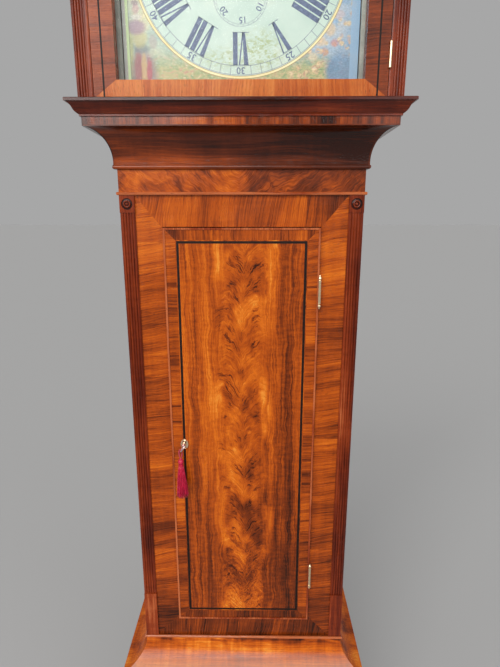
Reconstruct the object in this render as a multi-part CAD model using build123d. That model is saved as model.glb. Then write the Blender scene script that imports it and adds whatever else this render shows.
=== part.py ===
from build123d import *
import os
from math import atan2, cos, degrees, hypot, pi, radians, sin, sqrt

# A longcase clock in mahogany: base, trunk with a door, and a sliding hood round an arched painted dial.
# It has an eight-day weight-driven movement with a seconds pendulum and a strike on a bell.
# Millimetres. +Z is up, the clock faces -Y, and the origin is on the floor under the middle of the case.

# ---- Driving dimensions of the case ----
TRUNK_W = 404.0  # over the trunk's pilasters
TRUNK_D = 200.0  # trunk front to the wall
CORNICE_P = 69.0  # how far the hood's cornice stands out from the trunk, at the front and each side
HOOD_P = 41.0  # the same for the hood's body
BASE_P = 40.0  # and for the base
BOARD = 16.0  # carcase boards
BACK_T = 12.0  # backboards
FRONT_T = 18.0  # front frame and doors

Y_BACK = (TRUNK_D + CORNICE_P) / 2
Y_TRUNK = Y_BACK - TRUNK_D  # trunk front plane
Y_HOOD = Y_TRUNK - HOOD_P
Y_BASE = Y_TRUNK - BASE_P
HALF_T = TRUNK_W / 2
HALF_H = HALF_T + HOOD_P
HALF_B = HALF_T + BASE_P

# Heights
Z_FOOT = 78.0
Z_SKIRT = 112.0
Z_BASE_TOP = 440.0
Z_COVE_TOP = 496.0
Z_FRAME = 501.0  # bottom of the trunk's front frame
Z_BEAD = 1384.0  # bead under the frieze
BEAD_H = 5.0
Z_FRIEZE_TOP = 1424.0
Z_THROAT_TOP = 1496.0  # the hood rests here
Z_HOOD_FLOOR = 1519.0  # top of the hood's own base moulding
Z_DIAL = 1716.0  # centre arbor
Z_SHOULDER = 1888.0  # spring line of the door's arched opening
Z_CORNICE = 1950.0
CORNICE_H = 34.0

# Trunk door
DOOR_W = 263.6
DOOR_Z0 = 546.6
DOOR_Z1 = 1331.8
DOOR_GAP = 1.4
DOOR_PROUD = 3.0  # door face in front of the trunk's pilasters
FRAME_SET = 3.0  # front frame behind the pilasters
PILASTER_W = 25.0
COCK_W = 3.2
COCK_PROUD = 1.5
STRING_IN = 21.7  # ebony line in from the door's edge
STRING_W = 4.2
BASE_STRING_W = 3.0
HOOD_STRING_W = 2.6
HOOD_STRING_IN = 14.0
INLAY = 1.0
HINGE_IN = 107.0  # trunk hinges in from the ends of the door

# Hood door
HDOOR_HALF = 217.5
GLASS_HALF = 183.3
HSTILE = HDOOR_HALF - GLASS_HALF
HDOOR_Z0 = Z_HOOD_FLOOR + 1.5
GLASS_Z0 = 1545.6
ARCH_R = 143.0  # glass opening
HEAD_W = 30.0
HDOOR_T = 20.0

# Dial and movement
DIAL_HALF = 178.0
DIAL_Z0 = Z_DIAL - 178.0
DIAL_Z1 = Z_DIAL + 178.0
DIAL_ARCH_R = 147.0
Y_DIAL = Y_HOOD + 33.0
DIAL_T = 2.0
SECONDS_DZ = 48.0  # seconds arbor above the centre
DATE_DZ = -49.5  # date arbor below it
Y_PLATE = Y_DIAL + 34.0  # front of the front plate
PLATE_T = 3.2
PLATE_GAP = 64.0
Y_IN = Y_PLATE + PLATE_T  # inside of the front plate
Y_MOTION = Y_PLATE - 5.7  # front of the cannon wheel
Y_HOUR = Y_MOTION - 5.4  # front of the hour wheel
Y_RATCHET = Y_MOTION - 13.8  # front of the date ratchet
MOTION_T = 1.6
Y_BACKPLATE = Y_IN + PLATE_GAP
PLATE_HALF = 70.0
PLATE_Z0 = Z_DIAL - 74.0
PLATE_Z1 = Z_DIAL + 90.0
SEAT_T = 20.0

# Wheel train: teeth, module
MODULE = 0.75
GREAT_T, CENTRE_P = 96, 8
CENTRE_T, THIRD_P = 60, 8
THIRD_T, ESCAPE_P = 56, 7
ESCAPE_T = 30
S_GREAT_T, PIN_P = 84, 8
PIN_T, GATHER_P = 56, 7
GATHER_T, WARN_P = 49, 7
WARN_T, FLY_P = 42, 7
CANNON_T, MINUTE_T, MINUTE_P, HOUR_T = 30, 40, 8, 72
MOTION_M = 0.6
ARBOR_R = 1.5
PIVOT_R = 0.9
PIVOT_CLEAR = 0.05
BARREL_X, BARREL_DZ = 36.5, -13.7
BARREL_R = 24.0
LINE_R = 0.7
DROP_R = BARREL_R + LINE_R + 0.3  # where a line hangs off its barrel
PENDULUM = 994.0
WEIGHT_TOP = 1400.0  # wound up

Z_ANCHOR = Z_DIAL + SECONDS_DZ + 22.6
Y_PENDULUM = 54.0
Y_LINE = 3.0
LINES = (
    (BARREL_X - DROP_R, BARREL_X - DROP_R + 2 * (BARREL_R + LINE_R)),
    (-BARREL_X - DROP_R, -BARREL_X - DROP_R + 2 * (BARREL_R + LINE_R)),
)  # where each line comes down, and where its other end is tied to the seatboard
WALL_HOLES = (1300.0, 1400.0)
WALL_HOLE_R = 3.0

# Key and tassel
KEY_TILT = 35.0
RIM_R = 7.25  # middle of the bow's rim from the key's axis
LOOP_DROP = 14.5  # from the bow's rim down to the tassel's head
LOOP_HALF = 2.75
LOOP_R = 0.8

# Hood details
TYMP_T = 18.0
ROSETTE_R = 21.0
HH_X = HDOOR_HALF + 0.5
HH_Y = Y_HOOD - 2.4
HH_Z = (1577.0, 1855.0)
HH_LEN = 32.0

# Escape wheel, hands, bell and weights
STUD_R = 1.2
HOUR_TURN = 57.0  # hands, degrees anticlockwise from straight up
MINUTE_TURN = -52.0
DATE_TURN = -97.0
SECONDS_TURN = 25.0
ESCAPE_R = 16.0
BELL_R = 45.0
BELL_H = 32.0
BELL_Y = -20.0
BELL_Z = Z_DIAL + 112.0
WEIGHT_LEN = 225.0


# ---- Helpers ----
def box(x0, x1, y0, y1, z0, z1):
    """A box between two values on each axis."""
    size = Box(x1 - x0, y1 - y0, z1 - z0)
    return Pos((x0 + x1) / 2, (y0 + y1) / 2, (z0 + z1) / 2) * size


def rod_y(x, z, r, y0, y1):
    """A cylinder along Y."""
    return Pos(x, (y0 + y1) / 2, z) * Rot(90, 0, 0) * Cylinder(r, y1 - y0)


def rod_z(x, y, r, z0, z1):
    """A cylinder along Z."""
    return Pos(x, y, (z0 + z1) / 2) * Cylinder(r, z1 - z0)


def rod_x(y, z, r, x0, x1):
    """A cylinder along X."""
    return Pos((x0 + x1) / 2, y, z) * Rot(0, 90, 0) * Cylinder(r, x1 - x0)


def flip(shape):
    """The mirror image of a shape, left to right."""
    return mirror(shape, about=Plane.YZ)


def pair(shape):
    """A shape and its mirror image."""
    return [shape, flip(shape)]


def front_plane(y):
    """A plane facing the viewer: local x is X, local y is Z, and it extrudes towards -Y."""
    return Plane(origin=(0, y, 0), x_dir=(1, 0, 0), z_dir=(0, -1, 0))


def slab(sketch, y0, y1):
    """A sketch drawn in (X, Z), extruded from y1 forward to y0."""
    return extrude(front_plane(y1) * sketch, amount=y1 - y0)


def outline(*points):
    """A face inside straight lines."""
    return make_face(Polyline(*points, close=True))


def turned(points, axis_point, direction):
    """A solid of revolution: points are (distance along the axis, radius), from the axis back to it."""
    normal = Vector(*direction).cross(Vector(*side_of(direction)))
    plane = Plane(origin=axis_point, x_dir=direction, z_dir=normal)
    face = plane * outline(*points)
    return revolve(face, Axis(axis_point, direction), 360)


def side_of(direction):
    """Any direction square to an axis direction."""
    return (1, 0, 0) if abs(direction[0]) < 0.5 else (0, 0, 1)


def solids_of(shapes):
    """Every solid in a shape or a nested list of shapes."""
    found = []
    for shape in shapes if isinstance(shapes, (list, tuple)) else [shapes]:
        found += solids_of(shape) if isinstance(shape, (list, tuple)) else list(shape.solids())
    return found


def write(name, *shapes):
    """Writes a node from its solids."""
    solids = solids_of(list(shapes))
    shape = solids[0] if len(solids) == 1 else Compound(children=[Solid(s.wrapped) for s in solids])
    export_step(shape, f"parts/{name}.step")


def moulding(profile, half, y_front, reach, depth=0.0):
    """A moulding round the front and both sides, in three mitred lengths.

    profile is a face in (outward, Z); outward 0 is the plane that half and y_front give.
    reach is how far it stands out, and depth how far it goes in behind that plane.
    """
    far, low, high = half + reach, -5000, 5000
    inner, y_inner = half - depth, y_front + depth
    front_cut = outline((-inner, y_inner), (-far, y_front - reach), (far, y_front - reach), (inner, y_inner))
    side_cut = outline((inner, y_inner), (far, y_front - reach), (far, Y_BACK), (inner, Y_BACK))
    run = Plane(origin=(far, y_front, 0), x_dir=(0, -1, 0), z_dir=(-1, 0, 0))
    front = extrude(run * profile, amount=2 * far) & extrude(Pos(0, 0, low) * front_cut, amount=high - low)
    run = Plane(origin=(half, Y_BACK, 0), x_dir=(1, 0, 0), z_dir=(0, -1, 0))
    side = extrude(run * profile, amount=Y_BACK - y_front + reach)
    side = side & extrude(Pos(0, 0, low) * side_cut, amount=high - low)
    return [front, side, flip(side)]


def reeded(width, depth, reeds, plain, rise=1.5):
    """The plan of a reeded strip: x from 0 to width, front edge at y = 0 with its reeds standing on it."""
    margin = 1.0
    pitch = (width - plain - 2 * margin) / reeds
    edges = [Line((0, depth), (0, rise))]
    x = margin
    edges.append(Line((0, rise), (x, rise)))
    for _ in range(reeds):
        edges.append(ThreePointArc((x, rise), (x + pitch / 2, 0), (x + pitch, rise)))
        x += pitch
    edges.append(Line((x, rise), (x + margin, rise)))
    x += margin
    if plain:
        edges.append(Line((x, rise), (x, 0.6)))
        edges.append(ThreePointArc((x, 0.6), (x + plain / 2, 0), (width, 0.6)))
        edges.append(Line((width, 0.6), (width, depth)))
    else:
        edges.append(Line((x, rise), (width, depth)))
    edges.append(Line((width, depth), (0, depth)))
    return make_face(edges)


ROUNDEL_R = 9.0
RECESS = 1.6


def roundel(x, y, z):
    """A turned bull's-eye in its recess, facing -Y; y is the block's face."""
    ring = [(0, 0), (0, ROUNDEL_R), (0.5, ROUNDEL_R), (0.5, 7.6), (0.9, 6.2), (2.2, 5.8)]
    ring += [(2.6, 4.9), (2.2, 4.0), (0.8, 3.4), (0.8, 2.4), (2.0, 2.0), (2.6, 1.0), (2.8, 0)]
    return turned(ring, (x, y + RECESS, z), (0, -1, 0))


# ---- Base ----
def base():
    """Feet, skirting, panels and the cove that carries the trunk."""
    foot_w, foot_t = 112.0, 18.0
    skirt_p = 10.0
    half, y_front = HALF_B + 4, Y_BASE - 4
    bracket = make_face(
        [
            Line((0, 0), (52, 0)),
            ThreePointArc((52, 0), (62, 30), (84, 44)),
            ThreePointArc((84, 44), (101, 53), (foot_w, Z_FOOT)),
            Line((foot_w, Z_FOOT), (0, Z_FOOT)),
            Line((0, Z_FOOT), (0, 0)),
        ]
    )
    plan = outline((-half, y_front), (-half + 140, y_front), (-half + 140, y_front + 140))
    side_plan = outline((-half, y_front), (-half + 140, y_front + 140), (-half, y_front + 140))
    front = slab(Pos(-half, 0) * bracket, y_front, y_front + foot_t)
    front = front & extrude(plan, amount=200)
    run = Plane(origin=(-half, y_front, 0), x_dir=(0, 1, 0), z_dir=(1, 0, 0))
    side = extrude(run * bracket, amount=foot_t)
    side = side & extrude(side_plan, amount=200)
    run = Plane(origin=(-half + foot_t, Y_BACK, 0), x_dir=(0, -1, 0), z_dir=(-1, 0, 0))
    rear = extrude(run * bracket, amount=foot_t)
    block = box(-half + foot_t, -half + foot_t + 36, y_front + foot_t, y_front + foot_t + 36, 0, Z_FOOT)
    rear_block = box(-half + foot_t, -half + foot_t + 36, Y_BACK - BACK_T - 36, Y_BACK - BACK_T, 0, Z_FOOT)
    write("bracket_feet", pair(front), pair(side), pair(rear), pair(block), pair(rear_block))

    skirt = make_face(
        [
            Line((-BOARD, Z_FOOT), (skirt_p, Z_FOOT)),
            Line((skirt_p, Z_FOOT), (skirt_p, Z_SKIRT - 14)),
            ThreePointArc((skirt_p, Z_SKIRT - 14), (skirt_p - 1, Z_SKIRT - 5), (skirt_p - 6, Z_SKIRT - 3)),
            Line((skirt_p - 6, Z_SKIRT - 3), (skirt_p - 6, Z_SKIRT)),
            Line((skirt_p - 6, Z_SKIRT), (-BOARD, Z_SKIRT)),
            Line((-BOARD, Z_SKIRT), (-BOARD, Z_FOOT)),
        ]
    )
    write("base_skirting", moulding(skirt, HALF_B, Y_BASE, skirt_p, BOARD))

    panel = box(-HALF_B, HALF_B, Y_BASE, Y_BASE + FRONT_T, Z_SKIRT, Z_BASE_TOP)
    string_in = 44.0
    hx, z0, z1 = HALF_B - string_in, Z_SKIRT + string_in, Z_BASE_TOP - string_in
    line = box(-hx, hx, Y_BASE, Y_BASE + INLAY, z0, z1)
    bx, bz0, bz1 = hx - BASE_STRING_W, z0 + BASE_STRING_W, z1 - BASE_STRING_W
    line -= box(-bx, bx, Y_BASE, Y_BASE + INLAY, bz0, bz1)
    write("base_front_panel", panel - line, line)
    sides = pair(box(HALF_B - BOARD, HALF_B, Y_BASE + FRONT_T, Y_BACK, Z_SKIRT, Z_BASE_TOP))
    inner = HALF_B - BOARD
    back = box(-inner, inner, Y_BACK - BACK_T, Y_BACK, Z_SKIRT, Z_BASE_TOP)
    floor = box(-inner, inner, Y_BASE + FRONT_T, Y_BACK - BACK_T, Z_SKIRT, Z_SKIRT + 12)
    write("base_carcase", sides, back, floor)

    cove_w, cove_h, top = 44.0, 50.0, Z_COVE_TOP
    cove = make_face(
        [
            Line((-BOARD, Z_BASE_TOP), (cove_w, Z_BASE_TOP)),
            Line((cove_w, Z_BASE_TOP), (cove_w, top - cove_h)),
            EllipticalCenterArc((cove_w, top), cove_w, cove_h, start_angle=180, arc_size=90),
            Line((0, top), (-BOARD, top)),
            Line((-BOARD, top), (-BOARD, Z_BASE_TOP)),
        ]
    )
    write("base_cove", moulding(cove, HALF_T, Y_TRUNK, cove_w, BOARD))


# ---- Trunk ----
HALF_D = DOOR_W / 2
OPEN_HALF = HALF_D + DOOR_GAP
OPEN_Z0, OPEN_Z1 = DOOR_Z0 - DOOR_GAP, DOOR_Z1 + DOOR_GAP
Y_FRAME = Y_TRUNK + FRAME_SET
Y_DOOR = Y_TRUNK - DOOR_PROUD
HINGE_Z = (DOOR_Z0 + HINGE_IN, DOOR_Z1 - HINGE_IN)
HINGE_X = HALF_D + DOOR_GAP / 2
KNUCKLE_R = 2.65
HINGE_Y = Y_DOOR - COCK_PROUD - 3.1
KNUCKLES = 37.0  # length of a trunk hinge's barrel
LEAF_T = 1.0
Z_LOCK = 942.0
KEY_X = -108.0
LOCK_W, LOCK_H, LOCK_T = 56.0, 44.0, 13.0
BOLT_TIP = -130.7


def strip_frame(x, z0, z1, width, y0, y1):
    """Four mitred strips round a rectangle: left, right, bottom, top; x is the outer half width."""
    left = outline((-x, z0), (-x + width, z0 + width), (-x + width, z1 - width), (-x, z1))
    bottom = outline((-x, z0), (x, z0), (x - width, z0 + width), (-x + width, z0 + width))
    top = outline((-x, z1), (-x + width, z1 - width), (x - width, z1 - width), (x, z1))
    left_bar = slab(left, y0, y1)
    return [left_bar, flip(left_bar), slab(bottom, y0, y1), slab(top, y0, y1)]


def leaf_box(x0, x1, z, y0, y1):
    """One leaf of a trunk hinge."""
    return box(x0, x1, y0, y1, z - KNUCKLES / 2, z + KNUCKLES / 2)


def trunk():
    """Frame, pilasters, sides, frieze, beads and the throat moulding under the hood."""
    x_out = HALF_T - PILASTER_W
    y0, y1 = Y_FRAME, Y_FRAME + FRONT_T
    side = outline((-x_out, Z_FRAME), (-OPEN_HALF, OPEN_Z0), (-OPEN_HALF, OPEN_Z1), (-x_out, Z_BEAD))
    bottom = outline((-x_out, Z_FRAME), (x_out, Z_FRAME), (OPEN_HALF, OPEN_Z0), (-OPEN_HALF, OPEN_Z0))
    top = outline((-x_out, Z_BEAD), (-OPEN_HALF, OPEN_Z1), (OPEN_HALF, OPEN_Z1), (x_out, Z_BEAD))
    left = slab(side, y0, y1)
    right = flip(left)
    mortise = box(-OPEN_HALF - 9, -OPEN_HALF, Y_DOOR + 19.2, Y_DOOR + 23.2, Z_LOCK - 8.5, Z_LOCK + 8.5)
    leaf_y0, leaf_y1 = Y_DOOR + 1.5, Y_DOOR + 15
    for z in HINGE_Z:
        right -= leaf_box(OPEN_HALF, OPEN_HALF + LEAF_T, z, leaf_y0, leaf_y1)
    depth = FRAME_SET + FRONT_T
    ledge = box(-HALF_T, HALF_T, Y_TRUNK, Y_TRUNK + depth, Z_COVE_TOP, Z_FRAME)
    write("trunk_frame", left - mortise, right, slab(bottom, y0, y1), slab(top, y0, y1), ledge)

    plinth_z, block_z = 603.0, Z_BEAD - 28.0
    plan = Pos(x_out, Y_TRUNK) * Pos(PILASTER_W, 0) * mirror(reeded(PILASTER_W, depth, 5, 0), about=Plane.YZ)
    shaft = extrude(Pos(0, 0, plinth_z) * plan, amount=block_z - plinth_z)
    foot = box(x_out, HALF_T, Y_TRUNK - 1, Y_TRUNK + depth, Z_FRAME, plinth_z)
    head = box(x_out, HALF_T, Y_TRUNK - 1, Y_TRUNK + depth, block_z, Z_BEAD)
    eye = (HALF_T - PILASTER_W / 2, (block_z + Z_BEAD) / 2)
    head -= rod_y(eye[0], eye[1], ROUNDEL_R + 0.3, Y_TRUNK - 2, Y_TRUNK - 1 + RECESS)
    eyes = pair(roundel(eye[0], Y_TRUNK - 1, eye[1]))
    write("trunk_pilasters", pair(shaft), pair(foot), pair(head), eyes)

    y_side = Y_TRUNK + depth
    z_seat = PLATE_Z0 - SEAT_T
    sides = pair(box(HALF_T - BOARD, HALF_T, y_side, Y_BACK, Z_COVE_TOP, z_seat))
    inner = HALF_T - BOARD
    back = box(-inner, inner, Y_BACK - BACK_T, Y_BACK, Z_BASE_TOP, z_seat)
    wide = HALF_H - BOARD - 2
    head = outline((-wide, z_seat), (wide, z_seat), (wide, Z_CORNICE - 2), (-wide, Z_CORNICE - 2))
    head += Pos(0, Z_SHOULDER) * Circle(ARCH_R + HEAD_W)
    back += slab(head, Y_BACK - BACK_T, Y_BACK)
    ears = pair(box(HALF_T, wide, Y_BACK - BACK_T, Y_BACK, Z_THROAT_TOP + 2, z_seat))
    for z in WALL_HOLES:
        back -= rod_y(0, z, WALL_HOLE_R, Y_BACK - 20, Y_BACK + 5)
    seat = box(-HALF_T, HALF_T, y_side, Y_PENDULUM + 8, z_seat, PLATE_Z0)
    seat -= box(-22, 22, Y_PENDULUM - 12, Y_PENDULUM + 9, z_seat, PLATE_Z0)
    for x, x_tie in LINES:
        seat -= box(x - 5, x + 5, Y_LINE - 30, Y_LINE + 5, z_seat, PLATE_Z0)
        seat -= rod_z(x_tie, Y_LINE, 1.6, z_seat, PLATE_Z0)
    write("trunk_carcase", sides, back, ears, seat)

    strip = outline((0, 0), (2.2, 0), (3.4, 1.2), (3.4, BEAD_H - 1.2), (2.2, BEAD_H), (0, BEAD_H))
    upper = moulding(Pos(0, Z_BEAD) * strip, HALF_T, Y_TRUNK, 3.4)
    lower = moulding(Pos(0, Z_COVE_TOP) * strip, HALF_T, Y_TRUNK, 3.4)
    write("trunk_beads", upper, lower)
    write("trunk_frieze", box(-HALF_T, HALF_T, Y_TRUNK, y_side, Z_BEAD, Z_THROAT_TOP - 10))

    z0 = Z_FRIEZE_TOP
    cavetto_p, cavetto_h, fascia = 38.6, 50.0, 11.0
    z_fascia = Z_THROAT_TOP - fascia
    throat = make_face(
        [
            Line((0, z0), (3.5, z0)),
            ThreePointArc((3.5, z0), (6.2, z0 + 3.2), (4.5, z0 + 6.6)),
            Line((4.5, z0 + 6.6), (4.5, z_fascia - cavetto_h)),
            EllipticalCenterArc(
                (cavetto_p, z_fascia - cavetto_h), cavetto_p - 4.5, cavetto_h - 2, start_angle=90, arc_size=90
            ),
            Line((cavetto_p, z_fascia - 2), (cavetto_p, Z_THROAT_TOP)),
            Line((cavetto_p, Z_THROAT_TOP), (0, Z_THROAT_TOP)),
            Line((0, Z_THROAT_TOP), (0, z0)),
        ]
    )
    write("throat_moulding", moulding(throat, HALF_T, Y_TRUNK, 45, 0))


def hinge_finial(z, up):
    """A turned ball and tip on the end of a hinge pin."""
    tip = [(0, 0), (0, 3.1), (1.2, 3.1), (1.6, 2.1), (2.4, 1.9), (3.2, 2.9), (5.2, 3.2), (7.2, 2.7)]
    tip += [(8.6, 1.6), (10.4, 1.1), (11.2, 0)]
    return turned(tip, (HINGE_X, HINGE_Y, z), (0, 0, 1 if up else -1))


def trunk_door():
    """Door, cock bead, ebony line, hinges, lock, key and tassel."""
    y_back = Y_DOOR + FRONT_T
    inner = HALF_D - COCK_W
    z0, z1 = DOOR_Z0 + COCK_W, DOOR_Z1 - COCK_W
    panel = box(-inner, inner, Y_DOOR, y_back, z0, z1)
    sx, sz0, sz1 = HALF_D - STRING_IN, DOOR_Z0 + STRING_IN, DOOR_Z1 - STRING_IN
    line = box(-sx, sx, Y_DOOR, Y_DOOR + INLAY, sz0, sz1)
    line -= box(-sx + STRING_W, sx - STRING_W, Y_DOOR, Y_DOOR + INLAY, sz0 + STRING_W, sz1 - STRING_W)
    key_hole = rod_y(KEY_X, Z_LOCK, 3.0, Y_DOOR - 5, y_back + 5)
    slot = box(KEY_X - 1.6, KEY_X + 1.6, Y_DOOR - 5, y_back + 5, Z_LOCK - 9, Z_LOCK)
    cut = key_hole + slot
    ring = Pos(KEY_X, Y_DOOR, Z_LOCK - 3) * Rot(90, 0, 0) * extrude(Ellipse(7, 10), amount=1, both=True)
    write("trunk_door_string", line - cut - ring)
    write("trunk_door_panel", panel - line - cut - ring)
    bead = strip_frame(HALF_D, DOOR_Z0, DOOR_Z1, COCK_W, Y_DOOR - COCK_PROUD, y_back)
    for z in HINGE_Z:
        bead[1] -= leaf_box(HALF_D - LEAF_T, HALF_D + 1, z, Y_DOOR - 3, Y_DOOR + 15)
    write("door_cock_bead", bead)
    plate = Pos(KEY_X, Y_DOOR, Z_LOCK - 3) * Rot(90, 0, 0)
    rim = extrude(Ellipse(7, 10), amount=1, both=True) - extrude(Ellipse(5.6, 8.6), amount=9, both=True)
    plate = plate * (rim + extrude(Ellipse(5.6, 8.6), amount=0.7, both=True)) - cut

    # Hinges: two outer knuckles and a leaf on the case, the middle knuckle and a leaf on the door.
    outer, middle = [], []
    knuckle, gap = KNUCKLES / 3, 0.15
    for z in HINGE_Z:
        low, high = z - KNUCKLES / 2, z + KNUCKLES / 2
        bore = rod_z(HINGE_X, HINGE_Y, 1.25 + PIVOT_CLEAR, low - 1, high + 1)
        fixed = leaf_box(OPEN_HALF, OPEN_HALF + LEAF_T, z, Y_DOOR + 1.5, Y_DOOR + 15)
        for a, b in ((low, low + knuckle - gap), (high - knuckle + gap, high)):
            fixed += rod_z(HINGE_X, HINGE_Y, KNUCKLE_R, a, b)
            fixed += box(OPEN_HALF, OPEN_HALF + LEAF_T, HINGE_Y, Y_DOOR + 2, a, b)
        outer.append(fixed - bore)
        moving = leaf_box(HALF_D - LEAF_T, HALF_D, z, Y_DOOR + 1.5, Y_DOOR + 15)
        a, b = low + knuckle + gap, high - knuckle - gap
        moving += rod_z(HINGE_X, HINGE_Y, KNUCKLE_R, a, b)
        moving += box(HALF_D - LEAF_T, HALF_D, HINGE_Y, Y_DOOR + 2, a, b)
        middle.append(moving - bore)
        pin = rod_z(HINGE_X, HINGE_Y, 1.25, low, high)
        outer.append(pin + hinge_finial(high, True) + hinge_finial(low, False))
    write("trunk_hinge_fixed", outer)
    write("trunk_hinge_door", middle)

    # Lock on the back of the door
    lx0, lx1 = -HALF_D + COCK_W + 0.5, -HALF_D + COCK_W + 0.5 + LOCK_W
    case = box(lx0, lx1, y_back, y_back + LOCK_T, Z_LOCK - LOCK_H / 2, Z_LOCK + LOCK_H / 2)
    inner = LOCK_H / 2 - 1.5
    case -= box(lx0 + 1.5, lx1 - 1.5, y_back, y_back + LOCK_T - 1.5, Z_LOCK - inner, Z_LOCK + inner)
    case -= box(lx0 - 1, lx0 + 2, y_back + 1.5, y_back + 4.9, Z_LOCK - 7.2, Z_LOCK + 7.2)
    case -= rod_y(KEY_X, Z_LOCK, 2.1, y_back, y_back + LOCK_T + 1)
    write("door_lock_case", case, plate)
    bolt = box(BOLT_TIP, BOLT_TIP + 17, y_back + 1.7, y_back + 4.7, Z_LOCK - 7, Z_LOCK + 7)
    bolt -= rod_y(KEY_X, Z_LOCK, 5, y_back, y_back + 9)
    write("lock_bolt", bolt)

    # Key, with its bow turned a third of a quarter from upright
    tilt = KEY_TILT
    stem = rod_y(0, 0, 2.0, Y_DOOR - 17, y_back + 10)
    collar = turned([(0, 0), (0, 3.4), (1.2, 3.6), (2.4, 3.4), (2.4, 0)], (0, Y_DOOR - 12, 0), (0, -1, 0))
    bit = box(-0.9, 0.9, y_back + 5.6, y_back + 9.6, -9, -1)
    bow = extrude(Ellipse(8.5, 6.6), amount=1.2, both=True) - extrude(Ellipse(6.0, 4.2), amount=3, both=True)
    bow = Pos(0, Y_DOOR - 23, 0) * Rot(0, 90, 0) * bow
    key = stem + collar + bit + bow
    write("door_key", Pos(KEY_X, 0, Z_LOCK) * Rot(0, tilt, 0) * key)

    # Tassel: a cord loop round the low side of the bow, a turned head and a skirt of silk
    hx, hy, hz = tassel_hang()
    low, half = hz - LOOP_DROP, LOOP_HALF
    route = [(-1.0, low), (-half, low + 6), (-half, hz + half)]
    route += [(-x, z) for x, z in reversed(route)]
    loop = FilletPolyline(*[(hx + x, hy, z) for x, z in route], radius=1.6)
    start = Plane(origin=loop @ 0, z_dir=loop % 0)
    write("tassel_loop", sweep(start * Circle(LOOP_R), path=loop))
    head = [(0, 0), (0, 2.4), (1.5, 4.2), (5, 5.2), (8.5, 4.8), (10.5, 3.6)]
    head += [(12.0, 3.9), (14.0, 4.4), (14.0, 0)]
    skirt = [(14.2, 0), (14.2, 4.6), (22, 6.6), (38, 9.2), (60, 11.6), (78, 12.8), (78, 0)]
    down = (hx, hy, low - 0.4)
    write("tassel", turned(head, down, (0, 0, -1)), turned(skirt, down, (0, 0, -1)))


def tassel_hang():
    """The middle of the bow's rim on its low side, which the tassel's loop goes round."""
    t = radians(KEY_TILT)
    return KEY_X - RIM_R * sin(t), Y_DOOR - 23.0, Z_LOCK - RIM_R * cos(t)


# ---- Hood ----


def door_outline(extra=0.0):
    """The hood door's own outline, grown by extra."""
    shoulder = Z_SHOULDER + HEAD_W
    half = HDOOR_HALF + extra
    low, high = HDOOR_Z0 - extra, shoulder + extra
    body = outline((-half, low), (half, low), (half, high), (-half, high))
    return body + Pos(0, Z_SHOULDER) * Circle(ARCH_R + HEAD_W + extra)


def glass_outline(extra=0.0):
    """The opening for the glass, grown by extra."""
    half = GLASS_HALF + extra
    low, high = GLASS_Z0 - extra, Z_SHOULDER + extra
    body = outline((-half, low), (half, low), (half, high), (-half, high))
    return body + Pos(0, Z_SHOULDER) * Circle(ARCH_R + extra)


NECK = ((271.0, Z_CORNICE), (225.0, Z_CORNICE + 4), (150.0, 2052.0), (64.0, 2134.0))
NECK_W = 34.0
ROSETTE = (58.0, 2142.0)


def string_outline(inset):
    """The outline that the hood door's ebony line follows, run straight down past the bottom rail."""
    half = HDOOR_HALF + inset
    return door_outline(inset) + outline((-half, HDOOR_Z0), (half, HDOOR_Z0), (half, Z_DIAL), (-half, Z_DIAL))


def neck_curve(lift):
    """The S-curve of a swan neck, raised by lift."""
    points = [(x, z + lift) for x, z in NECK]
    return Spline(*points, tangents=((-1, 0), (-1, 0.25)))


def neck_band(low, high):
    """The region between two lifts of the swan-neck curve."""
    a, b = neck_curve(low), neck_curve(high)
    return make_face([a, Line(a @ 1, b @ 1), b, Line(b @ 0, a @ 0)])


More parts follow.
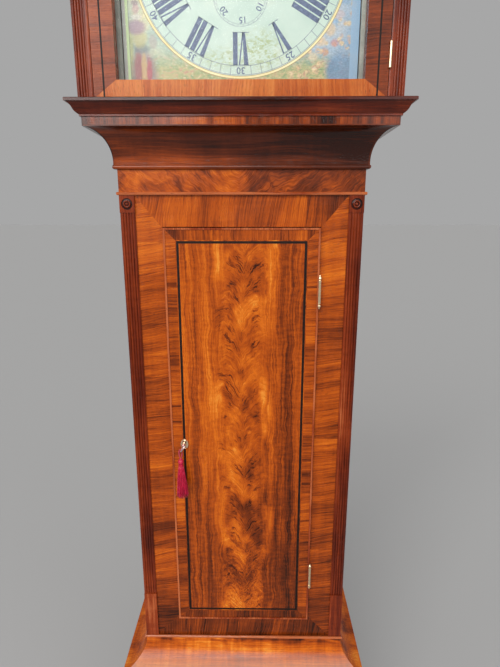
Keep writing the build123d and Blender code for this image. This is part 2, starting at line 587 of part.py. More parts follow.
def hood():
    """The sliding hood: base moulding, sides, pilasters, pediment, roof and finial."""
    p_in, lip, z0, z1 = HOOD_P - BOARD, 57.0, Z_THROAT_TOP, Z_HOOD_FLOOR
    profile = make_face(
        [
            Line((p_in, z0), (41.0, z0)),
            Line((41.0, z0), (41.0, z0 + 2.5)),
            ThreePointArc((41.0, z0 + 2.5), (45.2, z0 + 5.6), (48.2, z0 + 10.2)),
            ThreePointArc((48.2, z0 + 10.2), (51.0, z0 + 14.9), (55.0, z0 + 18.3)),
            Line((55.0, z0 + 18.3), (lip, z0 + 18.3)),
            Line((lip, z0 + 18.3), (lip, z1 - 1.0)),
            Line((lip, z1 - 1.0), (lip - 1.0, z1)),
            Line((lip - 1.0, z1), (p_in, z1)),
            Line((p_in, z1), (p_in, z0)),
        ]
    )
    write("hood_base_moulding", moulding(profile, HALF_T, Y_TRUNK, lip, -p_in))

    y_side = Y_HOOD + TYMP_T + 4
    write("hood_sides", pair(box(HALF_H - BOARD, HALF_H, y_side, Y_BACK, z1, Z_CORNICE)))
    width, cap_z = HALF_H - HDOOR_HALF - 1.0, Z_SHOULDER + HEAD_W + 1 - 27
    plan = Pos(HALF_H, Y_HOOD) * mirror(reeded(width, TYMP_T + 4, 4, 6.2), about=Plane.YZ)
    shaft = extrude(Pos(0, 0, z1) * plan, amount=cap_z - z1)
    head = box(HALF_H - width, HALF_H, Y_HOOD - 1, y_side, cap_z, Z_SHOULDER + HEAD_W + 1)
    eye = (HALF_H - width / 2, cap_z + 13.5)
    head -= rod_y(eye[0], eye[1], ROUNDEL_R + 0.3, Y_HOOD - 2, Y_HOOD - 1 + RECESS)
    eyes = pair(roundel(eye[0], Y_HOOD - 1, eye[1]))
    write("hood_pilasters", pair(shaft), pair(head), eyes)

    # Pediment board: over the door's arch, up to the swan necks
    low = Z_SHOULDER + HEAD_W + 1
    half_board = make_face(
        [
            Line((0, low), (HALF_H, low)),
            Line((HALF_H, low), (HALF_H, Z_CORNICE + 2)),
            Line((HALF_H, Z_CORNICE + 2), (225.0, Z_CORNICE + 14)),
            Spline(
                (225.0, Z_CORNICE + 14), (150.0, 2062.0), (64.0, 2144.0), tangents=((-1, 0.35), (-1, 0.25))
            ),
            Line((64.0, 2144.0), (46.0, 2144.0)),
            ThreePointArc((46.0, 2144.0), (32.0, 2104.0), (0, 2092.0)),
            Line((0, 2092.0), (0, low)),
        ]
    )
    board = half_board + mirror(half_board, about=Plane.YZ)
    board = board - Pos(0, Z_SHOULDER) * Circle(ARCH_R + HEAD_W + 1.0)
    write("hood_pediment_board", slab(board, Y_HOOD, Y_HOOD + TYMP_T))

    layers = ((0, NECK_W, 10.0), (10, NECK_W, 18.0), (16, NECK_W, 22.0), (24, NECK_W, CORNICE_P - HOOD_P))
    neck = None
    for a, b, stand in layers:
        layer = slab(neck_band(a, b), Y_HOOD - stand, Y_HOOD)
        neck = layer if neck is None else neck + layer
    corner = outline((0, Y_HOOD), (HALF_H, Y_HOOD), (HALF_H + 28, Y_HOOD - 28), (0, Y_HOOD - 28))
    neck = neck & extrude(Pos(0, 0, 1900) * corner, amount=400)
    neck = neck - rod_y(ROSETTE[0], ROSETTE[1] + 8, ROSETTE_R, Y_HOOD - 60, Y_HOOD)
    disc = [(0, 0), (0, ROSETTE_R), (24, ROSETTE_R), (25, 18.5), (23.6, 15.5), (23.6, 11)]
    disc += [(25.2, 9), (26.6, 6), (27.4, 3), (27.6, 0)]
    rosettes = turned(disc, (ROSETTE[0], Y_HOOD, ROSETTE[1] + 8), (0, -1, 0))
    write("pediment_rosettes", pair(rosettes))

    # Side cornices, mitred into the necks at the corners
    steps = [(0, 0), (10, 0), (10, 10), (18, 10), (18, 16), (22, 16), (22, 24), (28, 24)]
    steps += [(28, CORNICE_H), (0, CORNICE_H)]
    side = extrude(
        Plane(origin=(HALF_H, Y_BACK, Z_CORNICE), x_dir=(1, 0, 0), z_dir=(0, -1, 0)) * outline(*steps),
        amount=Y_BACK - Y_HOOD + 28,
    )
    cut = outline((HALF_H, Y_HOOD), (HALF_H + 28, Y_HOOD - 28), (HALF_H + 28, Y_BACK), (HALF_H, Y_BACK))
    side = side & extrude(Pos(0, 0, 1900) * cut, amount=400)
    write("hood_cornice", pair(neck), pair(side))

    # Roof: flat at the sides and a barrel over the dial's arch
    r_in = ARCH_R + HEAD_W + 3
    z = Z_CORNICE
    roof = outline((-HALF_H, z), (HALF_H, z), (HALF_H, z + 8), (-HALF_H, z + 8))
    roof = roof + Pos(0, Z_SHOULDER) * Circle(r_in + 7) - Pos(0, Z_SHOULDER) * Circle(r_in)
    keep = outline((-HALF_H, z), (HALF_H, z), (HALF_H, 2300), (-HALF_H, 2300))
    roof = roof & keep
    write("hood_roof", slab(roof, Y_HOOD + TYMP_T, Y_BACK))

    # Mask round the dial
    mask_y = Y_DIAL - 5.5
    blank = outline((-227, Z_HOOD_FLOOR), (227, Z_HOOD_FLOOR), (227, Z_CORNICE), (-227, Z_CORNICE))
    blank = blank + Pos(0, Z_SHOULDER) * Circle(r_in)
    write("hood_mask", slab(blank - glass_outline(-4.0), mask_y, mask_y + 5))

    # Finial on its plinth
    base_z = 2090.0
    plinth = box(-20, 20, Y_HOOD + 1, Y_HOOD + TYMP_T + 20, base_z - 8, base_z + 34)
    plinth -= slab(board, Y_HOOD - 1, Y_HOOD + TYMP_T)
    cap = box(-24, 24, Y_HOOD - 4, Y_HOOD + TYMP_T + 24, base_z + 34, base_z + 39)
    fy = Y_HOOD + TYMP_T / 2 + 1
    spire = [(0, 0), (0, 15), (3, 15), (5, 9), (9, 6.5), (12, 7.5), (16, 14), (24, 18.5)]
    spire += [(32, 19.5), (40, 17.5), (47, 12), (51, 7), (54, 5.5), (56, 7), (58, 5), (64, 3.6)]
    spire += [(78, 2.0), (90, 0.8), (92, 0)]
    write("finial", turned(spire, (0, fy, base_z + 39), (0, 0, 1)), plinth, cap)


def hood_door():
    """The glazed door: crossbanded frame, ebony line, glass, hinges and knob."""
    y0, y1 = Y_HOOD, Y_HOOD + HDOOR_T
    line = string_outline(-HOOD_STRING_IN) - string_outline(-HOOD_STRING_IN - HOOD_STRING_W)
    line = slab(line, y0, y0 + INLAY)
    whole = slab(door_outline() - glass_outline(), y0, y1) - line
    whole -= slab(glass_outline(6.0), y0 + 12, y1 + 1)
    span = HDOOR_HALF - GLASS_HALF
    far, low, high = 2 * span, HDOOR_Z0 - (GLASS_Z0 - HDOOR_Z0), Z_SHOULDER + HEAD_W
    x_out, x_in = HDOOR_HALF + span, GLASS_HALF - 8
    stile_cut = outline((x_out, low), (GLASS_HALF, GLASS_Z0), (x_in, GLASS_Z0 + 6), (x_in, Z_SHOULDER - 7),
                        (GLASS_HALF, Z_SHOULDER), (x_out, Z_SHOULDER + far * HEAD_W / span))
    rail_cut = outline((-x_out, low), (x_out, low), (GLASS_HALF, GLASS_Z0), (x_in, GLASS_Z0 + 6),
                       (-x_in, GLASS_Z0 + 6), (-GLASS_HALF, GLASS_Z0))
    stile_block, rail_block = slab(stile_cut, y0 - 1, y1 + 1), slab(rail_cut, y0 - 1, y1 + 1)
    right, bottom = whole & stile_block, whole & rail_block
    left = flip(right)
    head = whole - stile_block - flip(stile_block) - rail_block
    for z in HH_Z:
        right -= box(HDOOR_HALF - LEAF_T, HDOOR_HALF + 1, y0 - 1, y0 + 13, z - HH_LEN / 2, z + HH_LEN / 2)
    putty = slab(glass_outline(5.6) - glass_outline(0.5), y0 + 15.0, y1 - 1.0)
    write("hood_door_frame", left, right, bottom, head, putty)
    write("hood_door_string", line)
    write("hood_door_glass", slab(glass_outline(5.4), y0 + 12.2, y0 + 14.8))

    fixed, moving = [], []
    third, gap = HH_LEN / 3, 0.15
    for z in HH_Z:
        low, high = z - HH_LEN / 2, z + HH_LEN / 2
        bore = rod_z(HH_X, HH_Y, 1.0 + PIVOT_CLEAR, low - 2, high + 2)
        x0, x1 = HDOOR_HALF + 0.55, HDOOR_HALF + 0.95
        outer = box(x0, x1, y0, y0 + 13, low, high)
        for a, b in ((low, low + third - gap), (high - third + gap, high)):
            outer += rod_z(HH_X, HH_Y, 2.0, a, b) + box(x0, x1, HH_Y, y0, a, b)
        fixed.append(outer - bore)
        a, b = low + third + gap, high - third - gap
        leaf = box(HDOOR_HALF - LEAF_T, HDOOR_HALF, y0 + 0.2, y0 + 13, low, high)
        leaf += rod_z(HH_X, HH_Y, 2.0, a, b) + box(HDOOR_HALF - LEAF_T, HDOOR_HALF, HH_Y, y0 + 1, a, b)
        moving.append(leaf - bore)
        pin = rod_z(HH_X, HH_Y, 1.0, low, high)
        fixed.append(pin + rod_z(HH_X, HH_Y, 2.2, high, high + 1.2) + rod_z(HH_X, HH_Y, 2.2, low - 1.2, low))
    write("hood_hinge_fixed", fixed)
    write("hood_hinge_door", moving)
    knob = [(0, 0), (0, 6.5), (1.2, 6.5), (2, 4), (5, 3), (8, 4.5), (10.5, 7), (13, 7.4), (15, 5.5), (16, 0)]
    write("hood_door_knob", turned(knob, (-HDOOR_HALF + HSTILE / 2, y0, Z_DIAL), (0, -1, 0)))


# ---- Movement ----
def from_centre(x, dz):
    """A point (X, Z) given from the centre arbor."""
    return x, Z_DIAL + dz


CENTRE = from_centre(0, 0)
ESCAPE = from_centre(0, SECONDS_DZ)
DATE = from_centre(0, DATE_DZ)
GOING = from_centre(BARREL_X, BARREL_DZ)
STRIKE = from_centre(-BARREL_X, BARREL_DZ)
MINUTE = from_centre(15.0, -14.7)


def meeting(a, r_a, b, r_b, side):
    """The point at distance r_a from a and r_b from b, to the right of the line a-b for side 1."""
    dx, dz = b[0] - a[0], b[1] - a[1]
    d = hypot(dx, dz)
    along = (d * d + r_a * r_a - r_b * r_b) / (2 * d)
    off = sqrt(r_a * r_a - along * along)
    return a[0] + (along * dx + side * off * dz) / d, a[1] + (along * dz - side * off * dx) / d


def reach(a, r, bearing):
    """The point at distance r from a, at a bearing in degrees from straight up, clockwise."""
    return a[0] + r * sin(radians(bearing)), a[1] + r * cos(radians(bearing))


def centres(wheel, pinion, module=MODULE):
    """Distance between the arbors of a wheel and its pinion."""
    return (wheel + pinion) * module / 2


THIRD = meeting(CENTRE, centres(CENTRE_T, THIRD_P), ESCAPE, centres(THIRD_T, ESCAPE_P), 1)
PIN = reach(STRIKE, centres(S_GREAT_T, PIN_P), -3.3)
GATHER = reach(PIN, centres(PIN_T, GATHER_P), 9.8)
WARN = reach(GATHER, centres(GATHER_T, WARN_P), 13.8)
FLY = reach(WARN, centres(WARN_T, FLY_P), -49.6)
HAMMER = from_centre(-50.0, 62.0)
HOUR_M = (CANNON_T + MINUTE_T) * MOTION_M / (MINUTE_P + HOUR_T)


def toothed(n, module, at, phase, pinion=False):
    """The outline of a wheel or pinion at (X, Z), with a tooth centred at phase degrees from +X."""
    r = n * module / 2
    if pinion:
        shape = ((-0.21, r - 1.35 * module), (-0.14, r), (-0.05, r + 0.55 * module))
    else:
        shape = ((-0.23, r - 1.2 * module), (-0.17, r), (-0.07, r + 0.75 * module))
    shape += tuple((-turn, radius) for turn, radius in reversed(shape))
    points = []
    for i in range(n):
        for turn, radius in shape:
            angle = 2 * pi * (i + turn) / n + radians(phase)
            points.append((at[0] + radius * cos(angle), at[1] + radius * sin(angle)))
    return outline(*points)


def toward(a, b):
    """The direction from a to b, in degrees from +X."""
    return degrees(atan2(b[1] - a[1], b[0] - a[0]))


def wheel(n, at, mate, y, thick, module=MODULE, arms=4, hub=5.0, bore=0.0):
    """A crossed-out wheel whose tooth points at the pinion it drives."""
    r = n * module / 2
    rim = r - 1.2 * module - max(2.0, r * 0.09)
    face = toothed(n, module, at, toward(at, mate))
    if arms:
        window = Circle(rim) - Circle(hub)
        for i in range(arms // 2):
            window -= Rot(0, 0, i * 360 / arms + 45) * Rectangle(rim * 2.1, 2.2 + r * 0.03)
        face -= Pos(*at) * window
    if bore:
        face -= Pos(*at) * Circle(bore)
    return slab(face, y, y + thick)


def pinion(n, at, mate, y0, y1, module=MODULE, bore=0.0):
    """A pinion whose gap points at the wheel that drives it."""
    face = toothed(n, module, at, toward(at, mate) + 180 / n, True)
    if bore:
        face -= Pos(*at) * Circle(bore)
    return slab(face, y0, y1)


def arbor(at, front=0.0, back=0.0):
    """An arbor between the plates with its two pivots; front and back are extra lengths beyond the plates."""
    x, z = at
    body = rod_y(x, z, ARBOR_R, Y_IN + 0.4, Y_BACKPLATE - 0.4)
    return body + rod_y(x, z, PIVOT_R, Y_IN - PLATE_T - front, Y_BACKPLATE + PLATE_T + back)


def depth(a):
    """A distance back from the inside of the front plate."""
    return Y_IN + a


def train():
    """The going train, the motion work, the hands and the strike train."""
    x, z = CENTRE
    centre = arbor(CENTRE) + pinion(CENTRE_P, CENTRE, GOING, depth(43.5), depth(49))
    centre += wheel(CENTRE_T, CENTRE, THIRD, depth(53), 2.0)
    centre += rod_y(x, z, 1.8, Y_DIAL - 8.5, Y_IN + 1)
    cannon = wheel(CANNON_T, CENTRE, MINUTE, Y_MOTION, MOTION_T, MOTION_M, 0)
    centre += cannon + rod_y(x, z, 3.0, Y_DIAL - 7, Y_MOTION + MOTION_T)
    centre += minute_hand()
    write("centre_wheel", centre)

    hour = wheel(HOUR_T, CENTRE, MINUTE, Y_HOUR, MOTION_T, HOUR_M, 0)
    hour += rod_y(x, z, 4.5, Y_DIAL - 4.5, Y_HOUR + MOTION_T)
    hour -= rod_y(x, z, 3.0 + PIVOT_CLEAR, -90, -40)
    write("hour_wheel", hour + hour_hand())

    mx, mz = MINUTE
    face = toothed(MINUTE_T, MOTION_M, MINUTE, toward(MINUTE, CENTRE) + 180 / MINUTE_T)
    minute = slab(face, Y_MOTION, Y_MOTION + MOTION_T)
    minute += pinion(MINUTE_P, MINUTE, CENTRE, Y_MOTION - 6.8, Y_MOTION, HOUR_M)
    write("minute_wheel", minute - rod_y(mx, mz, STUD_R + PIVOT_CLEAR, Y_MOTION - 8, Y_PLATE))

    dx, dz = DATE
    saw = []
    for i in range(31):
        a, b = 2 * pi * i / 31, 2 * pi * (i + 0.8) / 31
        saw += [(dx + 21.0 * cos(a), dz + 21.0 * sin(a)), (dx + 23.4 * cos(b), dz + 23.4 * sin(b))]
    date = slab(outline(*saw), Y_RATCHET, Y_RATCHET + MOTION_T)
    date += rod_y(dx, dz, 2.2, Y_DIAL - 2.2, Y_RATCHET + MOTION_T)
    hand = pointer(36.0, 12.0, 1.9) - Circle(1.3)
    date += slab(Pos(dx, dz) * Rot(0, 0, DATE_TURN) * hand, Y_DIAL - 2.2, Y_DIAL - 1.4)
    write("date_wheel", date - rod_y(dx, dz, STUD_R + PIVOT_CLEAR, Y_DIAL + 1.5, Y_RATCHET + 2))

    third = arbor(THIRD) + pinion(THIRD_P, THIRD, CENTRE, depth(51), depth(57))
    write("third_wheel", third + wheel(THIRD_T, THIRD, ESCAPE, depth(30), 1.5))

    ex, ez = ESCAPE
    escape = arbor(ESCAPE, front=Y_PLATE - Y_DIAL + 2.6)
    escape += pinion(ESCAPE_P, ESCAPE, THIRD, depth(28), depth(33.5))
    crown = []
    for i in range(ESCAPE_T):
        for turn, r in ((0, ESCAPE_R), (0.12, ESCAPE_R - 0.3), (0.55, ESCAPE_R - 3)):
            a = 2 * pi * (i + turn) / ESCAPE_T
            crown.append((ex + r * cos(a), ez + r * sin(a)))
    rim = Circle(ESCAPE_R - 4.4) - Circle(4)
    for turn in (45, 135):
        rim -= Rot(0, 0, turn) * Rectangle(30, 2)
    escape += slab(outline(*crown) - Pos(ex, ez) * rim, depth(14), depth(15.2))
    hand = pointer(34.0, 14.0, 1.8)
    escape += slab(Pos(ex, ez) * Rot(0, 0, SECONDS_TURN) * hand, Y_DIAL - 2.2, Y_DIAL - 1.4)
    write("escape_wheel", escape)

    for name, at, teeth, mate in (("time", GOING, GREAT_T, CENTRE), ("strike", STRIKE, S_GREAT_T, PIN)):
        great = wheel(teeth, at, mate, depth(45), 2.4, arms=0, bore=5.0 + PIVOT_CLEAR)
        write(f"{name}_great_wheel", great)

    pin = arbor(PIN) + pinion(PIN_P, PIN, STRIKE, depth(43.5), depth(48.5))
    pin += wheel(PIN_T, PIN, GATHER, depth(49.5), 2.0)
    for i in range(8):
        px, pz = reach(PIN, 17.2, 45 * i + 20)
        pin += rod_y(px, pz, 0.8, depth(47.8), depth(49.6))
    write("pin_wheel", pin)
    gather = arbor(GATHER) + pinion(GATHER_P, GATHER, PIN, depth(48), depth(53))
    write("gather_wheel", gather + wheel(GATHER_T, GATHER, WARN, depth(24), 1.5))
    warn = arbor(WARN) + pinion(WARN_P, WARN, GATHER, depth(22), depth(27.5))
    write("warning_wheel", warn + wheel(WARN_T, WARN, FLY, depth(38), 1.5))
    fly = arbor(FLY) + pinion(FLY_P, FLY, WARN, depth(36), depth(41.5))
    fx, fz = FLY
    write("fly", fly + box(fx - 12, fx + 12, depth(44), depth(61), fz - 0.5, fz + 0.5))


def pointer(length, tail, boss):
    """A plain steel hand pointing up, with a counterpoised tail."""
    blade = outline((-0.9, 0), (0.9, 0), (0.35, length), (-0.35, length))
    return blade + outline((-0.6, 0), (0.6, 0), (1.5, -tail), (-1.5, -tail)) + Circle(boss)


def pierced_hand(length, scale):
    """A blued-steel hand pointing up: boss, pierced heart and a pointed tip."""
    boss = Circle(6.2 * scale)
    stem = outline((-1.9 * scale, 0), (1.9 * scale, 0), (0.9, length - 22), (-0.9, length - 22))
    heart = Pos(0, length * 0.58) * (Ellipse(7.5 * scale, 11 * scale) - Ellipse(4.6 * scale, 7.6 * scale))
    spine = outline((-0.9, length * 0.5), (0.9, length * 0.5), (0.9, length * 0.68), (-0.9, length * 0.68))
    tip = outline((-2.6 * scale, length - 26), (0, length - 32), (2.6 * scale, length - 26), (0, length))
    cut = Pos(0, length * 0.58) * Ellipse(4.6 * scale, 7.6 * scale)
    return boss + (stem - cut) + heart + spine + tip


def minute_hand():
    """The minute hand, in front of the hour hand."""
    x, z = CENTRE
    return slab(Pos(x, z) * Rot(0, 0, MINUTE_TURN) * pierced_hand(142.0, 1.0), Y_DIAL - 8.2, Y_DIAL - 7.0)


def hour_hand():
    """The hour hand, on the hour pipe."""
    x, z = CENTRE
    hand = pierced_hand(98.0, 1.25) - Circle(3.0 + PIVOT_CLEAR)
    return slab(Pos(x, z) * Rot(0, 0, HOUR_TURN) * hand, Y_DIAL - 4.5, Y_DIAL - 3.3)


def barrel(at):
    """A winding barrel with its caps, ratchet, wound line and squared arbor."""
    x, z = at
    drum = [(5, 0), (5, 27.5), (6.5, 27.5), (6.5, BARREL_R)]
    pitch = 2 * LINE_R + 0.1
    y = 8.0
    while y + pitch < Y_LINE - Y_IN - 1.4:
        drum += [(y + 0.25, BARREL_R + LINE_R), (y + pitch / 2, BARREL_R + 2 * LINE_R - 0.1)]
        drum += [(y + pitch - 0.25, BARREL_R + LINE_R), (y + pitch, BARREL_R + 0.4)]
        y += pitch
    drum += [(y + 0.6, BARREL_R), (41.5, BARREL_R), (41.5, 27.5), (43, 27.5), (43, 0)]
    body = turned(drum, (x, Y_IN, z), (0, 1, 0))
    body += rod_y(x, z, 5.0, depth(43), depth(55))
    body += rod_y(x, z, 3.0, depth(0.4), Y_BACKPLATE + PLATE_T)
    body += rod_y(x, z, 4.0, Y_DIAL + 3.5, depth(5))
    teeth = toothed(24, 1.2, at, 0)
    body += slab(teeth, depth(43), depth(44.4))
    square = box(x - 2.6, x + 2.6, Y_DIAL + 3, Y_DIAL + 18, z - 2.6, z + 2.6)
    sleeve = rod_y(x, z, 5, Y_DIAL + 3, Y_DIAL + 18)
    return body - (sleeve - square)


def weight(x_line, length):
    """A lead weight in a brass shell with its hook, stirrup and pulley."""
    r = BARREL_R + LINE_R
    x, z = x_line + r, WEIGHT_TOP - 26.0
    rim = r - LINE_R - 0.1
    groove = [(-4, 0), (-4, rim + 2), (-3, rim + 2), (-0.6, rim)]
    groove += [(-y, radius) for y, radius in reversed(groove)]
    sheave = turned(groove, (x, Y_LINE, z), (0, 1, 0))
    sheave -= rod_y(x, z, 2.0, Y_LINE - 9, Y_LINE + 9)
    low = z - rim - 12
    strap = [box(x - 4, x + 4, Y_LINE + s * 6.5 - 1, Y_LINE + s * 6.5 + 1, low, z + 5) for s in (-1, 1)]
    stirrup = strap[0] + strap[1] + box(x - 4, x + 4, Y_LINE - 7.5, Y_LINE + 7.5, low - 3, low)
    stirrup += rod_y(x, z, 2.0, Y_LINE - 8.5, Y_LINE + 8.5) + rod_z(x, Y_LINE, 2.5, low - 22, low)
    top = low - 20
    shell = [(0, 0), (0, 10), (3, 27.5), (length - 3, 27.5), (length, 25), (length, 0)]
    body = turned(shell, (x, Y_LINE, top), (0, 0, -1))
    return [sheave, stirrup - box(x - 9, x + 9, Y_LINE - 9, Y_LINE + 9, top - 5, top), body]


def gut_line(x_line, at):
    """A weight's line: down from the barrel, under the pulley and up to the seatboard."""
    r = BARREL_R + LINE_R
    z = WEIGHT_TOP - 26.0
    x_tie = x_line + 2 * r
    route = Line((x_line, Y_LINE, at[1]), (x_line, Y_LINE, z))
    route += ThreePointArc((x_line, Y_LINE, z), (x_line + r, Y_LINE, z - r), (x_tie, Y_LINE, z))
    route += Line((x_tie, Y_LINE, z), (x_tie, Y_LINE, PLATE_Z0 + 6))
    start = Plane(origin=(x_line, Y_LINE, at[1]), z_dir=(0, 0, -1))
    return sweep(start * Circle(LINE_R), path=route)


def movement():
    """Plates, pillars, studs, cock, dial, bell, pendulum, anchor, barrels, weights and hammer."""
    front = box(-PLATE_HALF, PLATE_HALF, Y_PLATE, Y_IN, PLATE_Z0, PLATE_Z1)
    back = box(-PLATE_HALF, PLATE_HALF, Y_BACKPLATE, Y_BACKPLATE + PLATE_T, PLATE_Z0, PLATE_Z1)
    bores = [(at, PIVOT_R, PIVOT_R) for at in (ESCAPE, THIRD, PIN, GATHER, WARN, FLY, HAMMER)]
    bores += [(CENTRE, 1.8, PIVOT_R), (GOING, 4.0, 3.0), (STRIKE, 4.0, 3.0), ((0, Z_ANCHOR), PIVOT_R, 5.0)]
    for (x, z), r_front, r_back in bores:
        front -= rod_y(x, z, r_front + PIVOT_CLEAR, Y_PLATE - 1, Y_IN + 1)
        back -= rod_y(x, z, r_back + PIVOT_CLEAR, Y_BACKPLATE - 1, Y_BACKPLATE + 9)
    frame = [front, back]
    for spread, z in ((40, PLATE_Z0 + 9), (64, PLATE_Z1 - 8)):
        for x in (-spread, spread):
            post = [(0, 0), (0, 6), (3, 6), (5, 4), (24, 5.2), (28, 6.2)]
            post += [(PLATE_GAP - y, radius) for y, radius in reversed(post)]
            frame.append(turned(post, (x, Y_IN, z), (0, 1, 0)))
    for x, z in (MINUTE, DATE):
        tip = Y_MOTION - 7.8 if (x, z) == MINUTE else Y_DIAL + 4
        frame.append(rod_y(x, z, STUD_R, tip, Y_PLATE))
    for x in (-58, 58):
        for z in (Z_DIAL - 62, Z_DIAL + 78):
            frame.append(rod_y(x, z, 3, Y_DIAL + DIAL_T, Y_PLATE))

    # Back cock, with a slot for the pendulum's spring
    y = Y_BACKPLATE + PLATE_T
    cock = box(-15, 15, y, y + 9, Z_ANCHOR + 9, Z_ANCHOR + 17)
    cock += box(-7, 7, y + 5.4, y + 9, Z_ANCHOR - 5, Z_ANCHOR + 17)
    cock += box(-7, 7, y + 9, Y_PENDULUM + 6, Z_ANCHOR + 6, Z_ANCHOR + 17)
    for side in (-1, 1):
        x0, x1 = sorted((side * 0.7, side * 5))
        cock += box(x0, x1, Y_PENDULUM - 5, Y_PENDULUM + 5, Z_ANCHOR, Z_ANCHOR + 6)
    cock -= rod_y(0, Z_ANCHOR, PIVOT_R + PIVOT_CLEAR, y + 4, y + 10)
    frame.append(cock)

    # Bell stand
    stand = box(30, 38, y, y + 3.5, Z_ANCHOR - 20, BELL_Z + BELL_H + 12)
    arm = outline((30, y + 3.5), (38, y + 3.5), (38, y), (5, BELL_Y - 5), (-5, BELL_Y - 5), (-5, BELL_Y + 3))
    stand += extrude(Pos(0, 0, BELL_Z + BELL_H + 8) * arm, amount=4)
    stand += rod_z(0, BELL_Y, 3, BELL_Z + BELL_H, BELL_Z + BELL_H + 9)
    frame.append(stand)
    write("movement_frame", frame)
    outer = [(0, 0), (0, 9), (2, 22), (8, 34), (18, 40.5), (28, 43), (BELL_H, BELL_R), (BELL_H, BELL_R - 2.5)]
    inner = [(27, 40.6), (18, 38), (9, 31.6), (4, 20), (2.5, 8), (2.5, 0)]
    write("bell", turned(outer + inner, (0, BELL_Y, BELL_Z + BELL_H), (0, 0, -1)))

    dial = outline((-DIAL_HALF, DIAL_Z0), (DIAL_HALF, DIAL_Z0), (DIAL_HALF, DIAL_Z1), (-DIAL_HALF, DIAL_Z1))
    dial += Pos(0, Z_SHOULDER) * Circle(DIAL_ARCH_R)
    for (x, z), r in ((CENTRE, 5.4), (ESCAPE, 2.0), (DATE, 3.0), (GOING, 6.5), (STRIKE, 6.5)):
        dial -= Pos(x, z) * Circle(r)
    write("dial", slab(dial, Y_DIAL, Y_DIAL + DIAL_T))

    # Pendulum
    z_bob = Z_ANCHOR - PENDULUM
    spring = box(-0.25, 0.25, Y_PENDULUM - 4, Y_PENDULUM + 4, Z_ANCHOR - 30, Z_ANCHOR + 2)
    block = box(-4, 4, Y_PENDULUM - 6, Y_PENDULUM + 6, Z_ANCHOR - 40, Z_ANCHOR - 26)
    block += box(-2.5, 2.5, Y_PENDULUM - 1.5, Y_PENDULUM + 1.5, Z_ANCHOR - 130, Z_ANCHOR - 38)
    rod = rod_z(0, Y_PENDULUM, 2.5, z_bob - 105, Z_ANCHOR - 128)
    lens = [(-15, 0), (-14.5, 16), (-10, 46), (-4, 68), (-1, 74)]
    lens += [(-y, radius) for y, radius in reversed(lens)]
    bob = turned(lens, (0, Y_PENDULUM, z_bob), (0, 1, 0))
    nut = rod_z(0, Y_PENDULUM, 9, z_bob - 90, z_bob - 84)
    write("pendulum", spring + block + rod + bob + nut)

    # Anchor, its arbor and the crutch
    band = Circle(21.4) - Circle(17.4)
    band = Pos(*ESCAPE) * (band & outline((0, 0), (30, 27), (30, 40), (-30, 40), (-30, 27)))
    pallets = slab(band + Pos(0, Z_ANCHOR) * Circle(3.6), depth(12), depth(17))
    verge = rod_y(0, Z_ANCHOR, ARBOR_R, depth(0.4), y + 5.0) + rod_y(0, Z_ANCHOR, PIVOT_R, Y_PLATE, y + 9)
    crutch = box(-1.2, 1.2, y + 1.5, y + 3.5, Z_ANCHOR - 112, Z_ANCHOR)
    fork = box(-5, 5, y + 1.5, y + 3.5, Z_ANCHOR - 114, Z_ANCHOR - 110)
    for side in (-1, 1):
        x0, x1 = sorted((side * 3.0, side * 5))
        fork += box(x0, x1, y + 1.5, Y_PENDULUM + 3, Z_ANCHOR - 114, Z_ANCHOR - 110)
    write("anchor", pallets + verge + crutch + fork)

    for name, at, (x_line, _) in (("going", GOING, LINES[0]), ("strike", STRIKE, LINES[1])):
        write(f"{name}_barrel", barrel(at))
        write(f"{name}_weight", weight(x_line, WEIGHT_LEN))
        write(f"{name}_line", gut_line(x_line, at))

    # Hammer: arbor, stem and head beside the bell, and the tail over the pin wheel
    hx, hz = HAMMER
    hammer = arbor(HAMMER) + box(hx - 1.5, hx + 1.5, BELL_Y - 2, BELL_Y + 2, hz, BELL_Z + 8)
    hammer += rod_x(BELL_Y, BELL_Z + 3, 6, hx - 8, -BELL_R - 2.0)
    tail_len = 23.0
    tx, tz = reach(HAMMER, tail_len, toward_up(HAMMER, PIN))
    nx, nz = (tz - hz) / tail_len * 1.2, -(tx - hx) / tail_len * 1.2
    tail = outline((hx - nx, hz - nz), (hx + nx, hz + nz), (tx + nx, tz + nz), (tx - nx, tz - nz))
    write("hammer", hammer + slab(tail, depth(47.8), depth(49.2)))


def toward_up(a, b):
    """The bearing of b from a, clockwise from straight up, in degrees."""
    return degrees(atan2(b[0] - a[0], b[1] - a[1]))


os.makedirs("parts", exist_ok=True)
base()
trunk()
trunk_door()
hood()
hood_door()
train()
movement()
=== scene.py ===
"""Looks of the longcase clock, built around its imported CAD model. Metres, +Z up, the clock faces -Y."""

import math
import random

import bmesh
import bpy
from mathutils import Matrix, Vector


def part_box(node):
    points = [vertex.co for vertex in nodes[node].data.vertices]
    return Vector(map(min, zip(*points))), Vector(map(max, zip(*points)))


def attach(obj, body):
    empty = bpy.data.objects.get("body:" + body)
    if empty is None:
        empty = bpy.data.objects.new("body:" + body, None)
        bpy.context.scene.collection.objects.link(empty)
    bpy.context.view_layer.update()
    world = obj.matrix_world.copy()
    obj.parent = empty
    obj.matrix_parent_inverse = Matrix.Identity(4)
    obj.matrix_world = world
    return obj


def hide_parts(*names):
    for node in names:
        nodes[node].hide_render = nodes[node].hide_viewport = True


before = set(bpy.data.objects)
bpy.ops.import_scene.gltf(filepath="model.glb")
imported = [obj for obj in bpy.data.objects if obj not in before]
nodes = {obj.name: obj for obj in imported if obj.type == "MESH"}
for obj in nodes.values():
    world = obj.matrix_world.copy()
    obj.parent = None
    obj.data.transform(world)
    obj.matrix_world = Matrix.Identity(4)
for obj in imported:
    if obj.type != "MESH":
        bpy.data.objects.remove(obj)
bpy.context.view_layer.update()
MM = 0.001

